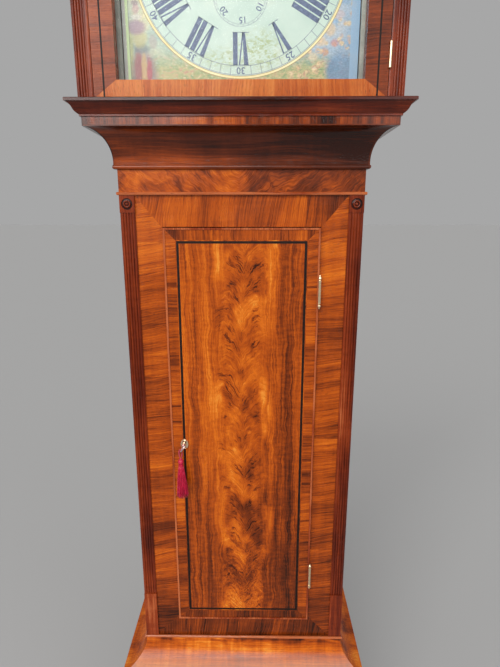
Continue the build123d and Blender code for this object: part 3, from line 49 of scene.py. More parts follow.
# ---- Camera ----
camera = bpy.data.objects.new("camera", bpy.data.cameras.new("camera"))
bpy.context.scene.collection.objects.link(camera)
camera.data.sensor_width = 36.0
camera.data.lens = 36.0 * 462.0 / 667.0
camera.location = (0.0228, -0.8558, 1.342)
camera.rotation_euler = (math.radians(76.37), 0.0, math.radians(0.64))
camera.data.clip_start = 0.01
bpy.context.scene.camera = camera

# ---- Places taken over from the CAD model, in metres ----
Z_CENTRE = 1.716  # hour and minute hands
Z_DATE = 1.6665
Z_SECONDS = 1.764
Y_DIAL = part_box("dial")[0].y
DOOR_HALF, DOOR_Z0, DOOR_Z1 = 0.1318, 0.5466, 1.3318
STRING_OUT = 0.0217
HOOD_DOOR_HALF, HOOD_DOOR_Z0 = 0.2175, 1.5205
GLASS_HALF, GLASS_Z0 = 0.1833, 1.5456
TRUNK_HALF, FRAME_Z0, FRAME_Z1 = 0.177, 0.501, 1.384
PANEL_HALF, PANEL_Z0, PANEL_Z1 = 0.198, 0.156, 0.396
PANEL_BAND = 0.044
DIAL_R = 0.1584
Y_BACKBOARD = 0.1342


def srgb(r, g, b):
    """A linear colour from 0-255 screen values."""
    def one(c):
        c /= 255.0
        return c / 12.92 if c <= 0.04045 else ((c + 0.055) / 1.055) ** 2.4
    return one(r), one(g), one(b), 1.0


# ---- Node trees written as arithmetic ----
class Signal:
    """A socket of a node tree that takes plain arithmetic."""

    def __init__(self, graph, socket):
        self.graph, self.socket = graph, socket

    def __add__(self, other):
        return self.graph.math("ADD", self, other)

    def __sub__(self, other):
        return self.graph.math("SUBTRACT", self, other)

    def __rsub__(self, other):
        return self.graph.math("SUBTRACT", other, self)

    def __mul__(self, other):
        return self.graph.math("MULTIPLY", self, other)

    def __truediv__(self, other):
        return self.graph.math("DIVIDE", self, other)

    __radd__ = __add__
    __rmul__ = __mul__


class Graph:
    """One material: its node tree and the signals that are built in it."""

    def __init__(self, name, **fixed):
        self.material = bpy.data.materials.new(name)
        self.material.use_nodes = True
        self.tree = self.material.node_tree
        self.shader = self.tree.nodes["Principled BSDF"]
        for socket, value in fixed.items():
            self.shader.inputs[socket.replace("_", " ")].default_value = value
        self.point = Signal(self, self.add("ShaderNodeTexCoord").outputs["Object"])
        self.x, self.y, self.z = (
            Signal(self, s) for s in self.add("ShaderNodeSeparateXYZ", self.point).outputs)

    def add(self, kind, *values, **settings):
        node = self.tree.nodes.new(kind)
        for key, value in settings.items():
            setattr(node, key, value)
        for socket, value in zip(node.inputs, values):
            self.put(socket, value)
        return node

    def put(self, socket, value):
        if isinstance(value, Signal):
            self.tree.links.new(value.socket, socket)
        elif value is not None:
            socket.default_value = value

    def math(self, operation, a, b=None, c=None):
        return Signal(self, self.add("ShaderNodeMath", a, b, c, operation=operation).outputs[0])

    def abs(self, a):
        return self.math("ABSOLUTE", a)

    def least(self, a, b):
        return self.math("MINIMUM", a, b)

    def most(self, a, b):
        return self.math("MAXIMUM", a, b)

    def hypot(self, a, b):
        return self.math("SQRT", a * a + b * b)

    def vec(self, x, y, z=0.0):
        return Signal(self, self.add("ShaderNodeCombineXYZ", x, y, z).outputs[0])

    def step(self, value, low, high):
        """0 at low, 1 at high, smooth between; low may be the larger."""
        node = self.add("ShaderNodeMapRange", value, low, high, 0.0, 1.0, interpolation_type="SMOOTHSTEP")
        return Signal(self, node.outputs[0])

    def inside(self, value, low, high, soft):
        return self.step(value, low - soft, low + soft) * self.step(value, high + soft, high - soft)

    def noise(self, vector, scale=1.0, detail=2.0, rough=0.5, warp=0.0):
        node = self.add("ShaderNodeTexNoise")
        self.put(node.inputs["Vector"], vector)
        for name, value in (("Scale", scale), ("Detail", detail), ("Roughness", rough), ("Distortion", warp)):
            node.inputs[name].default_value = value
        return Signal(self, node.outputs[0])

    def cells(self, vector, scale, feature="F1"):
        node = self.add("ShaderNodeTexVoronoi", feature=feature)
        self.put(node.inputs["Vector"], vector)
        node.inputs["Scale"].default_value = scale
        return Signal(self, node.outputs["Distance"])

    def ramp(self, value, stops):
        node = self.add("ShaderNodeValToRGB", value)
        ramp = node.color_ramp
        while len(ramp.elements) < len(stops):
            ramp.elements.new(0.5)
        for element, (place, colour) in zip(ramp.elements, stops):
            element.position, element.color = place, colour
        return Signal(self, node.outputs[0])

    def mix(self, share, a, b, blend="MIX"):
        node = self.add("ShaderNodeMix", data_type="RGBA", blend_type=blend, clamp_factor=True)
        for i, value in ((0, share), (6, a), (7, b)):
            self.put(node.inputs[i], value)
        return Signal(self, node.outputs[2])

    def blend(self, share, a, b):
        """A number between a and b."""
        node = self.add("ShaderNodeMix", share, data_type="FLOAT", clamp_factor=True)
        for i, value in ((2, a), (3, b)):
            self.put(node.inputs[i], value)
        return Signal(self, node.outputs[0])

    def bump(self, height, distance, strength=1.0):
        node = self.add("ShaderNodeBump")
        node.inputs["Strength"].default_value = strength
        node.inputs["Distance"].default_value = distance
        self.put(node.inputs["Height"], height)
        self.tree.links.new(node.outputs[0], self.shader.inputs["Normal"])

    def finish(self, colour=None, rough=None, metal=None):
        for name, value in (("Base Color", colour), ("Roughness", rough), ("Metallic", metal)):
            if value is not None:
                self.put(self.shader.inputs[name], value)
        return self.material


# ---- Wood ----
ORANGE = [(0.10, srgb(50, 19, 5)), (0.32, srgb(116, 46, 9)), (0.52, srgb(174, 76, 12)),
          (0.74, srgb(210, 106, 20)), (0.97, srgb(234, 152, 56))]
BROWN = [(0.10, srgb(44, 14, 5)), (0.34, srgb(92, 36, 11)), (0.54, srgb(142, 60, 18)),
         (0.78, srgb(182, 86, 26)), (0.95, srgb(210, 122, 54))]
RED = [(0.12, srgb(32, 8, 2)), (0.36, srgb(66, 18, 5)), (0.56, srgb(102, 33, 9)), (0.78, srgb(142, 56, 20)),
       (0.95, srgb(186, 100, 56))]
PINE = [(0.15, srgb(110, 72, 38)), (0.4, srgb(158, 114, 66)), (0.6, srgb(186, 142, 90)),
        (0.85, srgb(206, 168, 118))]


def fibres(g, along, across, deep, seed, streaks=1.4, lines=0.55, ripple=0.4, clouds=0.8):
    """Tone of plain grain, about 0 to 1, with its mean at 0.5, and the pores."""
    wave = g.noise(g.vec(along * 5 + seed, across * 9, deep * 9), detail=1) - 0.5
    across = across + wave * 0.011
    broad = g.noise(g.vec(along * 1.9 + seed, across * 34, deep * 34), detail=5, rough=0.62)
    fine = g.noise(g.vec(along * 14, across * 430 + seed, deep * 430), detail=3, rough=0.6)
    figure = g.noise(g.vec(along * 85 + seed, across * 11, deep * 11), detail=2, warp=0.6)
    cloud = g.noise(g.vec(along * 6, across * 8 + seed, deep * 8), detail=2)
    tone = ((broad - 0.5) * streaks + (fine - 0.5) * lines + (figure - 0.5) * ripple
            + (cloud - 0.5) * clouds) + 0.5
    pore = g.step(g.noise(g.vec(along * 120, across * 1500, deep * 1500), detail=1), 0.6, 0.72)
    return tone, pore, fine


def polish(g, tone, pore, fine, colours, gloss=0.24, depth=0.00012):
    """French-polished wood from its tone: dark pores, a rubbed uneven gloss and a shallow grain."""
    colour = g.mix(pore * 0.5, g.ramp(tone, colours), tuple(c * 0.45 for c in colours[0][1][:3]) + (1.0,))
    wear = g.noise(g.point, 9.0, detail=4, rough=0.65)
    rough = g.step(wear, 0.3, 0.75) * 0.14 + (fine - 0.5) * 0.1 + (gloss - 0.04)
    g.bump(fine * 0.5 - pore * 0.8, depth, 0.5)
    return g.finish(colour, rough)


WOOD = dict(Coat_Weight=0.06, Coat_Roughness=0.1, Specular_IOR_Level=0.22)
GLOSSY = dict(Coat_Weight=0.15, Coat_Roughness=0.07, Specular_IOR_Level=0.3)


def plain_wood(name, colours, axis="z", seed=0.0, gloss=0.24, **figure):
    g = Graph(name, **WOOD)
    along, across, deep = {"z": (g.z, g.x, g.y), "x": (g.x, g.z, g.y), "y": (g.y, g.x, g.z)}[axis]
    return polish(g, *fibres(g, along, across, deep, seed, **figure), colours, gloss)


def moulding_wood(name, colours, seed, gloss, half, front, **figure):
    """Grain that runs along the front piece and turns back along the sides at the mitres."""
    g = Graph(name, **GLOSSY)
    turned = g.step(g.abs(g.x) - half + g.y - front, -0.0004, 0.0004)
    along = g.blend(turned, g.x, g.y)
    return g, fibres(g, along, g.z, g.blend(turned, g.y, g.x), seed, **figure), colours, gloss


def banded(g, rails, seed, length=0.13, lean=0.12):
    """Crossbanding laid in short lengths: along is across the band; rails is 1 on the level ones."""
    run = g.blend(rails, g.z, g.x)
    over = g.blend(rails, g.x, g.z)
    piece = g.math("FLOOR", run / length + seed)
    shade = g.noise(g.vec(piece * 7.3 + seed, rails * 3.0), 1.0, detail=0)
    joint = g.abs(g.math("FRACT", run / length + seed) - 0.5)
    bend = g.noise(g.vec(g.x * 6, g.z * 7, seed), detail=2) - 0.5
    cross = run - over * lean + bend * 0.03
    tone, pore, fine = fibres(g, over, cross, g.y, piece * 3.7 + seed,
                              streaks=0.8, lines=0.6, ripple=0.15, clouds=0.5)
    dark = g.noise(g.vec(cross * 120, over * 7, seed + 2), detail=4, rough=0.7)
    tone = tone + (shade - 0.5) * 0.4 - g.step(joint, 0.4965, 0.4995) * 0.15
    tone = tone - g.step(dark, 0.5, 0.8) * 0.3 - 0.02
    return tone, pore, fine


def feather(g, z0, z1, seed):
    """Tone of a crotch figure: a plume on the middle line, arching to straight grain at the edges."""
    sway = g.noise(g.vec(g.z * 5 + seed, seed), detail=2) - 0.5
    x = g.x - sway * 0.03 - 0.002
    a = g.abs(x)
    wild = g.noise(g.vec(x * 22, g.z * 15 + seed), detail=4, rough=0.62) - 0.5
    curl = g.noise(g.vec(x * 60, g.z * 44 + seed), detail=3) - 0.5
    arch = g.z - a * 1.9 + a * a * 27 + wild * 0.05 + curl * 0.012
    side = g.step(x, -0.003, 0.003) * 7
    strokes = g.noise(g.vec(arch * 190, x * 34, side + seed), detail=5, rough=0.68)
    wisps = g.step(strokes, 0.5, 0.6)
    bands = g.noise(g.vec(arch * 17, x * 20, seed + 3), detail=4, rough=0.62)
    clouds = g.noise(g.vec(x * 22, g.z * 15 + seed, 5.0), detail=3, rough=0.6)
    patches = g.step(g.noise(g.vec(x * 34, g.z * 26 + seed), detail=2), 0.4, 0.62)
    plume = g.step(a + wild * 0.06, 0.052, 0.022)
    middle = (bands - 0.5) * 0.8 + (strokes - 0.5) * 1.1 + (clouds - 0.5) * 1.1 - wisps * patches * 0.5 + 0.6

    edge_x = g.x + wild * 0.02
    streak = g.noise(g.vec(edge_x * 66 + seed, g.z * 1.6), detail=6, rough=0.66)
    line = g.noise(g.vec(edge_x * 420, g.z * 9 + seed), detail=3)
    mottle = g.noise(g.vec(g.x * 60, g.z * 150 + seed), detail=3, rough=0.65)
    sides = (streak - 0.5) * 1.25 + (line - 0.5) * 0.6 + (mottle - 0.5) * 0.35 + 0.5

    beam = g.step(g.abs(a - 0.045 - wild * 0.03), 0.016, 0.0) * g.step(
        g.noise(g.vec(x * 3, g.z * 6 + seed), detail=2), 0.4, 0.62)
    tone = g.blend(plume, sides, middle) + beam * 0.3
    low = g.step(g.z, z0 + (z1 - z0) * 0.3, z0 + (z1 - z0) * 0.1)
    burr = g.noise(g.vec(g.x * 120, g.z * 90 + seed), detail=5, rough=0.75, warp=1.5)
    speck = g.step(burr, 0.56, 0.64) * low * g.step(a, 0.036, 0.008)
    tone = tone + (burr - 0.38) * low * plume * 1.3 - speck * 0.6
    pore = g.step(g.noise(g.vec(g.x * 1500, g.z * 130), detail=1), 0.62, 0.74)
    return tone, pore, strokes * plume + line * (1.0 - plume)


def door_wood():
    g = Graph("door_veneer", **WOOD)
    tone, pore, fine = feather(g, DOOR_Z0, DOOR_Z1, 1.7)
    past = STRING_OUT - 0.0015
    in_x = DOOR_HALF - g.abs(g.x)
    in_z = g.least(g.z - DOOR_Z0, DOOR_Z1 - g.z)
    band = g.step(g.least(in_x, in_z), past + 0.0002, past - 0.0002)
    rails = g.step(in_x - in_z, -0.0003, 0.0003)
    edge = list(banded(g, rails, 2.3, 0.16, 0.05))
    # Painted shade: the crossbanding is darker towards the bottom, and the whole door is darker towards the
    # right and the bottom.
    edge[0] = edge[0] - g.step(g.z, 0.85, 0.55) * 0.12
    painted_falloff = g.step(g.x, -0.06, 0.11) * 0.12 + g.step(g.z, 1.05, 0.6) * 0.16
    mixed = [g.blend(band, a, b) for a, b in zip((tone + 0.03 - painted_falloff, pore, fine), edge)]
    return polish(g, *mixed, ORANGE, 0.22)


def frame_wood(name, half_in, half_out, z_in, z_out, colours, seed, length, lean,
               floor_z, floor_in, rail_lift=0.0, calm=1.0):
    """A veneered frame: crossbanded stiles, rails with upright grain, mitred at the corners.

    The opening reaches half_in to each side and runs up from floor_in to z_in. The frame reaches half_out and
    runs from floor_z to z_out. rail_lift makes the rails lighter, and calm under 1 weakens the figure.
    """
    g = Graph(name, **WOOD)
    out_x = (g.abs(g.x) - half_in) / (half_out - half_in)
    top = (g.z - z_in) / (z_out - z_in)
    bottom = (floor_in - g.z) / (floor_in - floor_z)
    rails = g.step(g.most(top, bottom) - out_x, -0.008, 0.008)
    tone, pore, fine = banded(g, rails, seed, length, lean)
    # Painted shade: the frame is darker towards the right and towards the bottom.
    painted_shade = g.step(g.x - g.z * 0.3, -0.7, 0.1) * 0.08 + g.step(g.z, 0.85, 0.5) * 0.14
    return polish(g, (tone - 0.5) * calm + 0.53 - painted_shade + rails * rail_lift, pore, fine, colours, 0.24)


def frieze_wood():
    g = Graph("frieze_veneer", **WOOD)
    a = g.abs(g.x + 0.004)
    wild = g.noise(g.vec(g.x * 14, g.z * 16, 4.0), detail=3, rough=0.6) - 0.5
    flame = a * 0.75 - g.z + wild * 0.06
    broad = g.noise(g.vec(flame * 34, a * 9, 2.0), detail=4, rough=0.6)
    fine = g.noise(g.vec(flame * 380, a * 40, 5.0), detail=3)
    cloud = g.noise(g.vec(g.x * 22, g.z * 24, 7.0), detail=4, rough=0.65, warp=0.8)
    gloom = g.step(g.x + wild * 0.12, -0.02, 0.03) * g.step(cloud, 0.35, 0.6) * 0.34
    tone = (broad - 0.5) * 0.8 + (fine - 0.5) * 0.5 + (cloud - 0.5) * 1.1 + 0.5 - gloom
    pore = g.step(g.noise(g.vec(g.x * 900, g.z * 900), detail=1), 0.64, 0.74)
    return polish(g, tone, pore, fine, ORANGE, 0.26)


def tint(g, material, share, colour):
    """Lays a colour over the finished base colour."""
    socket = g.shader.inputs["Base Color"]
    g.put(socket, g.mix(share, Signal(g, socket.links[0].from_socket), colour))
    return material


def cove_wood():
    g = Graph("cove_veneer", **WOOD)
    cloud = g.noise(g.vec(g.x * 11, g.z * 26, g.y * 11), detail=4, rough=0.6, warp=0.7)
    tone, pore, fine = fibres(g, g.x, g.z, g.y, 3.0, streaks=0.9, lines=0.5, ripple=0.5, clouds=0.6)
    shade = g.step(g.z, 0.478, 0.497) * g.step(cloud, 0.62, 0.42) * 0.34
    material = polish(g, tone + 0.1 + (cloud - 0.5) * 0.8 - shade, pore, fine, ORANGE, 0.2)
    # Painted reflection: the lower front of the cove is tinted pale pink as the sheen of a reflection.
    front = g.step(g.abs(g.x) + g.y, 0.1370, 0.1360)
    flower_spots_and_painted_reflection = g.step(g.z + (cloud - 0.5) * 0.012, 0.470, 0.446) * front * 0.45
    return tint(g, material, flower_spots_and_painted_reflection, srgb(222, 184, 166))


def throat_wood():
    g, grain, colours, gloss = moulding_wood("throat_moulding", BROWN, 5.0, 0.12, 0.2, -0.0655,
                                             streaks=1.1, lines=0.4, ripple=0.1, clouds=0.9)
    fascia = g.step(g.z, 1.4845, 1.4853)
    upright = fibres(g, g.z, g.x, g.y, 8.0, streaks=1.7, lines=0.5, ripple=0.1, clouds=0.8)
    mixed = [g.blend(fascia, a, b) for a, b in zip(grain, upright)]
    # Painted light and shade: the lower throat is lighter in clouds, the fascia is lighter partly for its
    # upright grain and partly as a painted highlight, and the whole moulding is darkened as painted shade
    # where it faces down.
    cloud = g.noise(g.vec(g.x * 5, g.z * 8, 1.0), detail=2)
    painted_light = g.step(g.z, 1.447, 1.436) * g.step(cloud, 0.35, 0.65) * 0.2
    mixed[0] = mixed[0] + painted_light + fascia * 0.2 - 0.24
    return polish(g, *mixed, colours, gloss)


def case_moulding(name, colours, seed, gloss, half=0.243, front=-0.1065, lift=0.0):
    g, grain, colours, gloss = moulding_wood(name, colours, seed, gloss, half, front,
                                             streaks=1.2, lines=0.5, ripple=0.12, clouds=0.7)
    return polish(g, grain[0] + lift, grain[1], grain[2], colours, gloss)


def panel_wood():
    """The base: a figured panel inside the ebony line, crossbanded outside it."""
    g = Graph("base_veneer", **WOOD)
    tone, pore, fine = feather(g, PANEL_Z0, PANEL_Z1, 6.1)
    past = g.most(g.z - PANEL_Z1, PANEL_Z0 - g.z)
    out = g.most((g.abs(g.x) - PANEL_HALF) / PANEL_BAND, past / PANEL_BAND)
    band = g.step(out, 0.0, 0.02)
    rails = g.step(past - g.abs(g.x) + PANEL_HALF, -0.0004, 0.0004)
    mixed = [g.blend(band, a, b) for a, b in zip((tone, pore, fine), banded(g, rails, 7.7, 0.15, 0.05))]
    line = g.inside(out, -0.068, 0.0, 0.008)
    return tint(g, polish(g, *mixed, ORANGE, 0.26), line, srgb(26, 15, 10))


def carcase_wood():
    """Polished mahogany, with dusty pine on the back face."""
    g = Graph("carcase_wood", **WOOD)
    tone, pore, fine = fibres(g, g.z, g.x, g.y, 2.0, ripple=0.12, clouds=0.55)
    boards = g.abs(g.math("FRACT", g.x / 0.118 + 0.5) - 0.5)
    dust = g.noise(g.point, 14.0, detail=5, rough=0.65)
    raw = g.ramp(tone * 0.8 + dust * 0.35 - g.step(boards, 0.012, 0.004) * 0.5, PINE)
    material = polish(g, tone, pore, fine, BROWN, 0.27)
    behind = g.step(g.y, Y_BACKBOARD - 0.0002, Y_BACKBOARD + 0.0002)
    return tint(g, material, behind, g.mix(0.45, raw, srgb(96, 74, 54)))


def cock_bead():
    g = Graph("cock_bead", **GLOSSY)
    tone, pore, fine = fibres(g, g.z, g.x, g.y, 9.0, streaks=0.8, lines=0.5, ripple=0.1, clouds=0.5)
    # The tone is lifted as a painted highlight on the rounded bead.
    return polish(g, tone + 0.36, pore, fine, RED, 0.1)


def pilaster_wood(name, seed, lift, eye_x, eye_z):
    """Upright grain; the veneered plinth blocks are lighter, and painted shade darkens the rings round the
    roundels.
    """
    g = Graph(name, **WOOD)
    tone, pore, fine = fibres(g, g.z, g.x, g.y, seed, streaks=1.2, lines=0.6, ripple=0.15, clouds=0.6)
    plinth = g.step(g.z, 0.6032, 0.6028)
    eye = g.hypot(g.abs(g.x) - eye_x, g.z - eye_z)
    # Painted shade in the turned grooves round each roundel.
    shade = g.inside(eye, 0.0060, 0.0092, 0.0004) + g.inside(eye, 0.0024, 0.0038, 0.0003)
    return polish(g, tone + lift + plinth * 0.08 - shade * 0.45, pore, fine, RED, 0.2)


def ebony():
    g = Graph("ebony_line", Specular_IOR_Level=0.2)
    grain = g.noise(g.vec(g.x * 300, g.y * 300, g.z * 300), detail=3)
    colour = g.ramp(grain, [(0.3, srgb(12, 7, 5)), (0.6, srgb(28, 16, 10)), (0.85, srgb(60, 34, 20))])
    g.bump(grain, 0.00008, 0.6)
    return g.finish(colour, grain * 0.25 + 0.35)


# ---- Metals, glass, paint, silk ----
def metal(name, clean, dull, rough, dirt=0.5, brush=0.3):
    """Old polished metal: dull in patches, rubbed bright elsewhere, with fine scratches."""
    g = Graph(name, Metallic=1.0)
    patch = g.noise(g.point, 90.0, detail=5, rough=0.65)
    scratch = g.noise(g.vec(g.x * 1400, g.y * 180, g.z * 1400), detail=2)
    stain = g.step(patch, 0.48, 0.72)
    colour = g.mix(stain * dirt, clean, dull)
    g.bump(scratch * brush + patch * 0.4, 0.00006, 0.5)
    return g.finish(colour, stain * 0.22 + (scratch - 0.5) * 0.12 + rough)


def hand_metal(name, front):
    """Brass wheel work whose hand, in front of the dial, is blued steel."""
    g = Graph(name, Metallic=1.0)
    patch = g.noise(g.point, 120.0, detail=4, rough=0.6)
    hand = g.step(g.y, front + 0.0002, front - 0.0002)
    brass = g.mix(g.step(patch, 0.5, 0.75) * 0.5, srgb(214, 170, 92), srgb(120, 84, 40))
    blued = g.ramp(patch, [(0.3, srgb(24, 28, 44)), (0.6, srgb(48, 58, 84)), (0.9, srgb(110, 118, 134))])
    g.bump(patch, 0.00006, 0.4)
    return g.finish(g.mix(hand, brass, blued), patch * 0.2 + 0.16)


def glass():
    g = Graph("old_glass", Roughness=0.02, IOR=1.5, Coat_Weight=0.0)
    ripple = g.noise(g.vec(g.x * 9, g.y, g.z * 5), detail=2)
    facing = Signal(g, g.add("ShaderNodeLayerWeight", 0.5).outputs["Facing"])
    rim = g.math("POWER", facing, 4.0)
    smear = g.step(g.noise(g.vec(g.x * 14, g.z * 9), detail=4, rough=0.7), 0.5, 0.8)
    g.put(g.shader.inputs["Alpha"], rim * 0.7 + smear * 0.02 + 0.02)
    g.bump(ripple, 0.0012, 0.25)
    return g.finish(g.mix(smear, srgb(196, 214, 222), srgb(224, 230, 232)))


def spot(g, x, z, wide, high, soft=0.25, shift=0.0):
    """1 inside an ellipse, whose outline is drawn loosely where it is shifted by a signal."""
    return g.step(g.hypot((g.x + shift - x) / wide, (g.z + shift - z) / high), 1 + soft, 1 - soft)


def ring(g, radius, centre, width, soft=0.00015):
    return g.inside(g.hypot(g.x, g.z - centre), radius - width / 2, radius + width / 2, soft)


def ticks(g, centre, count, low, high, width):
    """Radial lines from one radius to the other."""
    angle = g.math("ARCTAN2", g.x, g.z - centre) * (count / (2 * math.pi))
    radius = g.hypot(g.x, g.z - centre)
    off = g.abs(g.math("FRACT", angle + 0.5) - 0.5) * (2 * math.pi / count) * radius
    return g.step(off, width / 2 + 0.00008, width / 2 - 0.00008) * g.inside(radius, low, high, 0.0001)


INK = srgb(84, 98, 128)

# Patches of the corner paintings: x, z, half width, half height, colour
PATCHES = [
    (-0.1690, 1.600, 0.006, 0.026, srgb(206, 208, 122)),
    (-0.1480, 1.560, 0.0195, 0.034, srgb(150, 108, 138)),
    (-0.1560, 1.566, 0.006, 0.033, srgb(178, 84, 88)),
    (-0.1475, 1.562, 0.0045, 0.030, srgb(232, 194, 116)),
    (-0.1400, 1.558, 0.004, 0.026, srgb(204, 62, 82)),
    (-0.1510, 1.597, 0.013, 0.006, srgb(112, 130, 136)),
    (-0.1530, 1.611, 0.011, 0.012, srgb(220, 208, 132)),
    (-0.1575, 1.626, 0.014, 0.010, srgb(164, 112, 160)),
    (-0.1560, 1.640, 0.008, 0.004, srgb(238, 234, 226)),
    (-0.1570, 1.651, 0.005, 0.007, srgb(216, 168, 168)),
    (-0.1575, 1.659, 0.006, 0.004, srgb(150, 122, 134)),
    (-0.1330, 1.606, 0.006, 0.010, srgb(196, 186, 176)),
    (0.1210, 1.606, 0.0075, 0.007, srgb(244, 214, 170)),
    (0.1350, 1.622, 0.007, 0.009, srgb(240, 208, 158)),
    (0.1280, 1.592, 0.005, 0.006, srgb(222, 166, 130)),
    (0.1460, 1.642, 0.010, 0.006, srgb(222, 204, 204)),
    (0.1100, 1.585, 0.007, 0.006, srgb(246, 228, 190)),
    (0.1420, 1.604, 0.006, 0.005, srgb(214, 150, 150)),
]


def dial_paint():
    g = Graph("painted_dial", Coat_Weight=0.25, Coat_Roughness=0.2)
    mottle = g.noise(g.point, 22.0, detail=4, rough=0.6)
    ground = g.ramp(mottle, [(0.3, srgb(186, 210, 196)), (0.55, srgb(202, 222, 208)),
                             (0.8, srgb(218, 228, 210))])
    leaf = g.noise(g.vec(g.x * 130, g.z * 210, 1.0), detail=5, rough=0.7, warp=1.0)
    shrub = g.most(spot(g, 0.030, 1.594, 0.036, 0.026, 0.6), spot(g, -0.03, 1.584, 0.03, 0.013, 0.6))
    ground = g.mix(g.step(leaf, 0.44, 0.62) * shrub * 0.75, ground, srgb(158, 172, 92))

    # Corners: sky over meadow, with painted foliage
    sky = g.noise(g.vec(g.x * 16, g.z * 22, 3.0), detail=5, rough=0.62)
    left = g.ramp(sky, [(0.3, srgb(150, 184, 186)), (0.5, srgb(206, 222, 196)), (0.7, srgb(240, 232, 180))])
    right = g.ramp(sky, [(0.3, srgb(116, 160, 206)), (0.5, srgb(166, 198, 224)), (0.72, srgb(226, 226, 222))])
    corner = g.mix(g.step(g.x, -0.01, 0.03), left, right)
    land = g.noise(g.vec(g.x * 60, g.z * 90, 6.0), detail=6, rough=0.7, warp=1.4)
    meadow = g.ramp(land, [(0.3, srgb(112, 146, 120)), (0.42, srgb(168, 186, 126)),
                           (0.54, srgb(214, 204, 146)), (0.64, srgb(214, 160, 132)),
                           (0.76, srgb(244, 232, 190))])
    low = g.step(g.z + (sky - 0.5) * 0.05, 1.6, 1.566)
    corner = g.mix(low, corner, meadow)
    flower_spots_and_painted_reflection = g.cells(g.vec(g.x, g.z), 95.0)
    flowers = g.step(flower_spots_and_painted_reflection, 0.5, 0.24) * g.step(land, 0.38, 0.5) * g.step(g.x + (sky - 0.5) * 0.1, 0.05, 0.08)
    petals = g.ramp(land, [(0.42, srgb(214, 150, 140)), (0.52, srgb(244, 216, 160)),
                           (0.66, srgb(252, 240, 206))])
    corner = g.mix(flowers * 0.9, corner, petals)
    lake = spot(g, 0.152, 1.566, 0.022, 0.026, 0.3)
    corner = g.mix(lake * 0.85, corner, g.ramp(sky, [(0.3, srgb(84, 128, 180)), (0.7, srgb(136, 178, 214))]))
    loose = (g.noise(g.vec(g.x * 150, g.z * 110, 2.0), detail=4, rough=0.7) - 0.5) * 0.0065
    for x, z, wide, high, colour in PATCHES:
        corner = g.mix(spot(g, x, z, wide, high, 0.35, loose) * 0.68, corner, colour)
    strokes = g.noise(g.vec(g.x * 260, g.z * 420, 9.0), detail=3)
    corner = g.mix((strokes - 0.22) * 0.9, corner, srgb(118, 116, 112), "MULTIPLY")
    corner = g.mix(g.inside(g.x, -0.1690, -0.1678, 0.0003) * 0.6, corner, srgb(70, 84, 76))
    corner = g.mix(g.step(g.x, -0.1686, -0.1690), corner, srgb(206, 230, 168))
    corner = g.mix(g.step(g.x, -0.1726, -0.1734), corner, srgb(190, 190, 182))
    corner = g.mix(g.inside(g.x, 0.1655, 0.1790, 0.0004) * 0.9, corner, srgb(150, 186, 216))

    # The arch: a plain landscape round a cream roundel
    arch = g.step(g.z, 1.873, 1.8745)
    corner = g.mix(arch * spot(g, 0.0, 1.953, 0.06, 0.045, 0.03), corner, ground)
    colour = g.mix(g.step(g.hypot(g.x, g.z - Z_CENTRE), DIAL_R + 0.0002, DIAL_R - 0.0002), corner, ground)

    # Gold border, minute boxes, date and seconds rings
    colour = g.mix(ring(g, 0.1590, Z_CENTRE, 0.0044), colour, srgb(150, 116, 48))
    colour = g.mix(ring(g, 0.1590, Z_CENTRE, 0.0030), colour,
                   g.ramp(mottle, [(0.3, srgb(232, 210, 130)), (0.7, srgb(252, 244, 196))]))
    lines = g.most(ring(g, 0.1555, Z_CENTRE, 0.0007), ring(g, 0.1430, Z_CENTRE, 0.0007))
    marks = ticks(g, Z_CENTRE, 60, 0.1425, 0.1555, 0.0007)
    hours = g.math("ARCTAN2", g.x, g.z - Z_CENTRE) * (12 / (2 * math.pi))
    fifth = g.abs(g.math("FRACT", hours + 0.5) - 0.5)
    marks = marks * g.step(fifth, 0.06, 0.07)
    for centre, count, radius in ((Z_DATE, 31, 0.0400), (Z_SECONDS, 60, 0.0330)):
        track = g.most(ring(g, radius, centre, 0.0005), ring(g, radius - 0.003, centre, 0.0004))
        lines = g.most(lines, track)
        marks = g.most(marks, ticks(g, centre, count, radius - 0.003, radius, 0.0005))
    worn = g.step(g.noise(g.point, 160.0, detail=3), 0.72, 0.55) * 0.35 + 0.55
    colour = g.mix(g.most(lines, marks) * worn, colour, INK)

    crackle = g.cells(g.point, 75.0, "DISTANCE_TO_EDGE")
    crack = g.step(crackle, 0.022, 0.004) * g.step(mottle, 0.5, 0.62)
    colour = g.mix(crack * 0.16, colour, srgb(120, 108, 88))
    g.bump(mottle * 0.4 - crack * 0.3 + strokes * 0.12, 0.0002, 0.4)
    return g.finish(colour, mottle * 0.2 + 0.28)


def mask_paint():
    g = Graph("mask_paint", Coat_Weight=0.1)
    mottle = g.noise(g.point, 60.0, detail=5, rough=0.65)
    colour = g.ramp(mottle, [(0.3, srgb(150, 152, 142)), (0.55, srgb(182, 184, 172)),
                             (0.85, srgb(208, 208, 194))])
    g.bump(mottle, 0.0001, 0.5)
    return g.finish(colour, mottle * 0.3 + 0.4)


def ink():
    g = Graph("numeral_ink", Coat_Weight=0.2, Coat_Roughness=0.25)
    wear = g.noise(g.point, 210.0, detail=4, rough=0.65)
    colour = g.ramp(wear, [(0.3, srgb(64, 78, 112)), (0.6, srgb(92, 108, 142)), (0.85, srgb(150, 166, 186))])
    g.bump(wear, 0.00005, 0.4)
    return g.finish(colour, wear * 0.2 + 0.3)


def silk(name, dark, light, scale):
    g = Graph(name, Sheen_Weight=0.3, Sheen_Roughness=0.3, Sheen_Tint=srgb(255, 130, 150))
    twist = g.noise(g.vec(g.x * scale, g.y * scale, g.z * scale * 0.12), detail=3, rough=0.6)
    colour = g.ramp(twist, [(0.25, dark), (0.55, light), (0.85, srgb(236, 92, 140))])
    g.bump(twist, 0.0002, 0.6)
    return g.finish(colour, twist * 0.2 + 0.3)


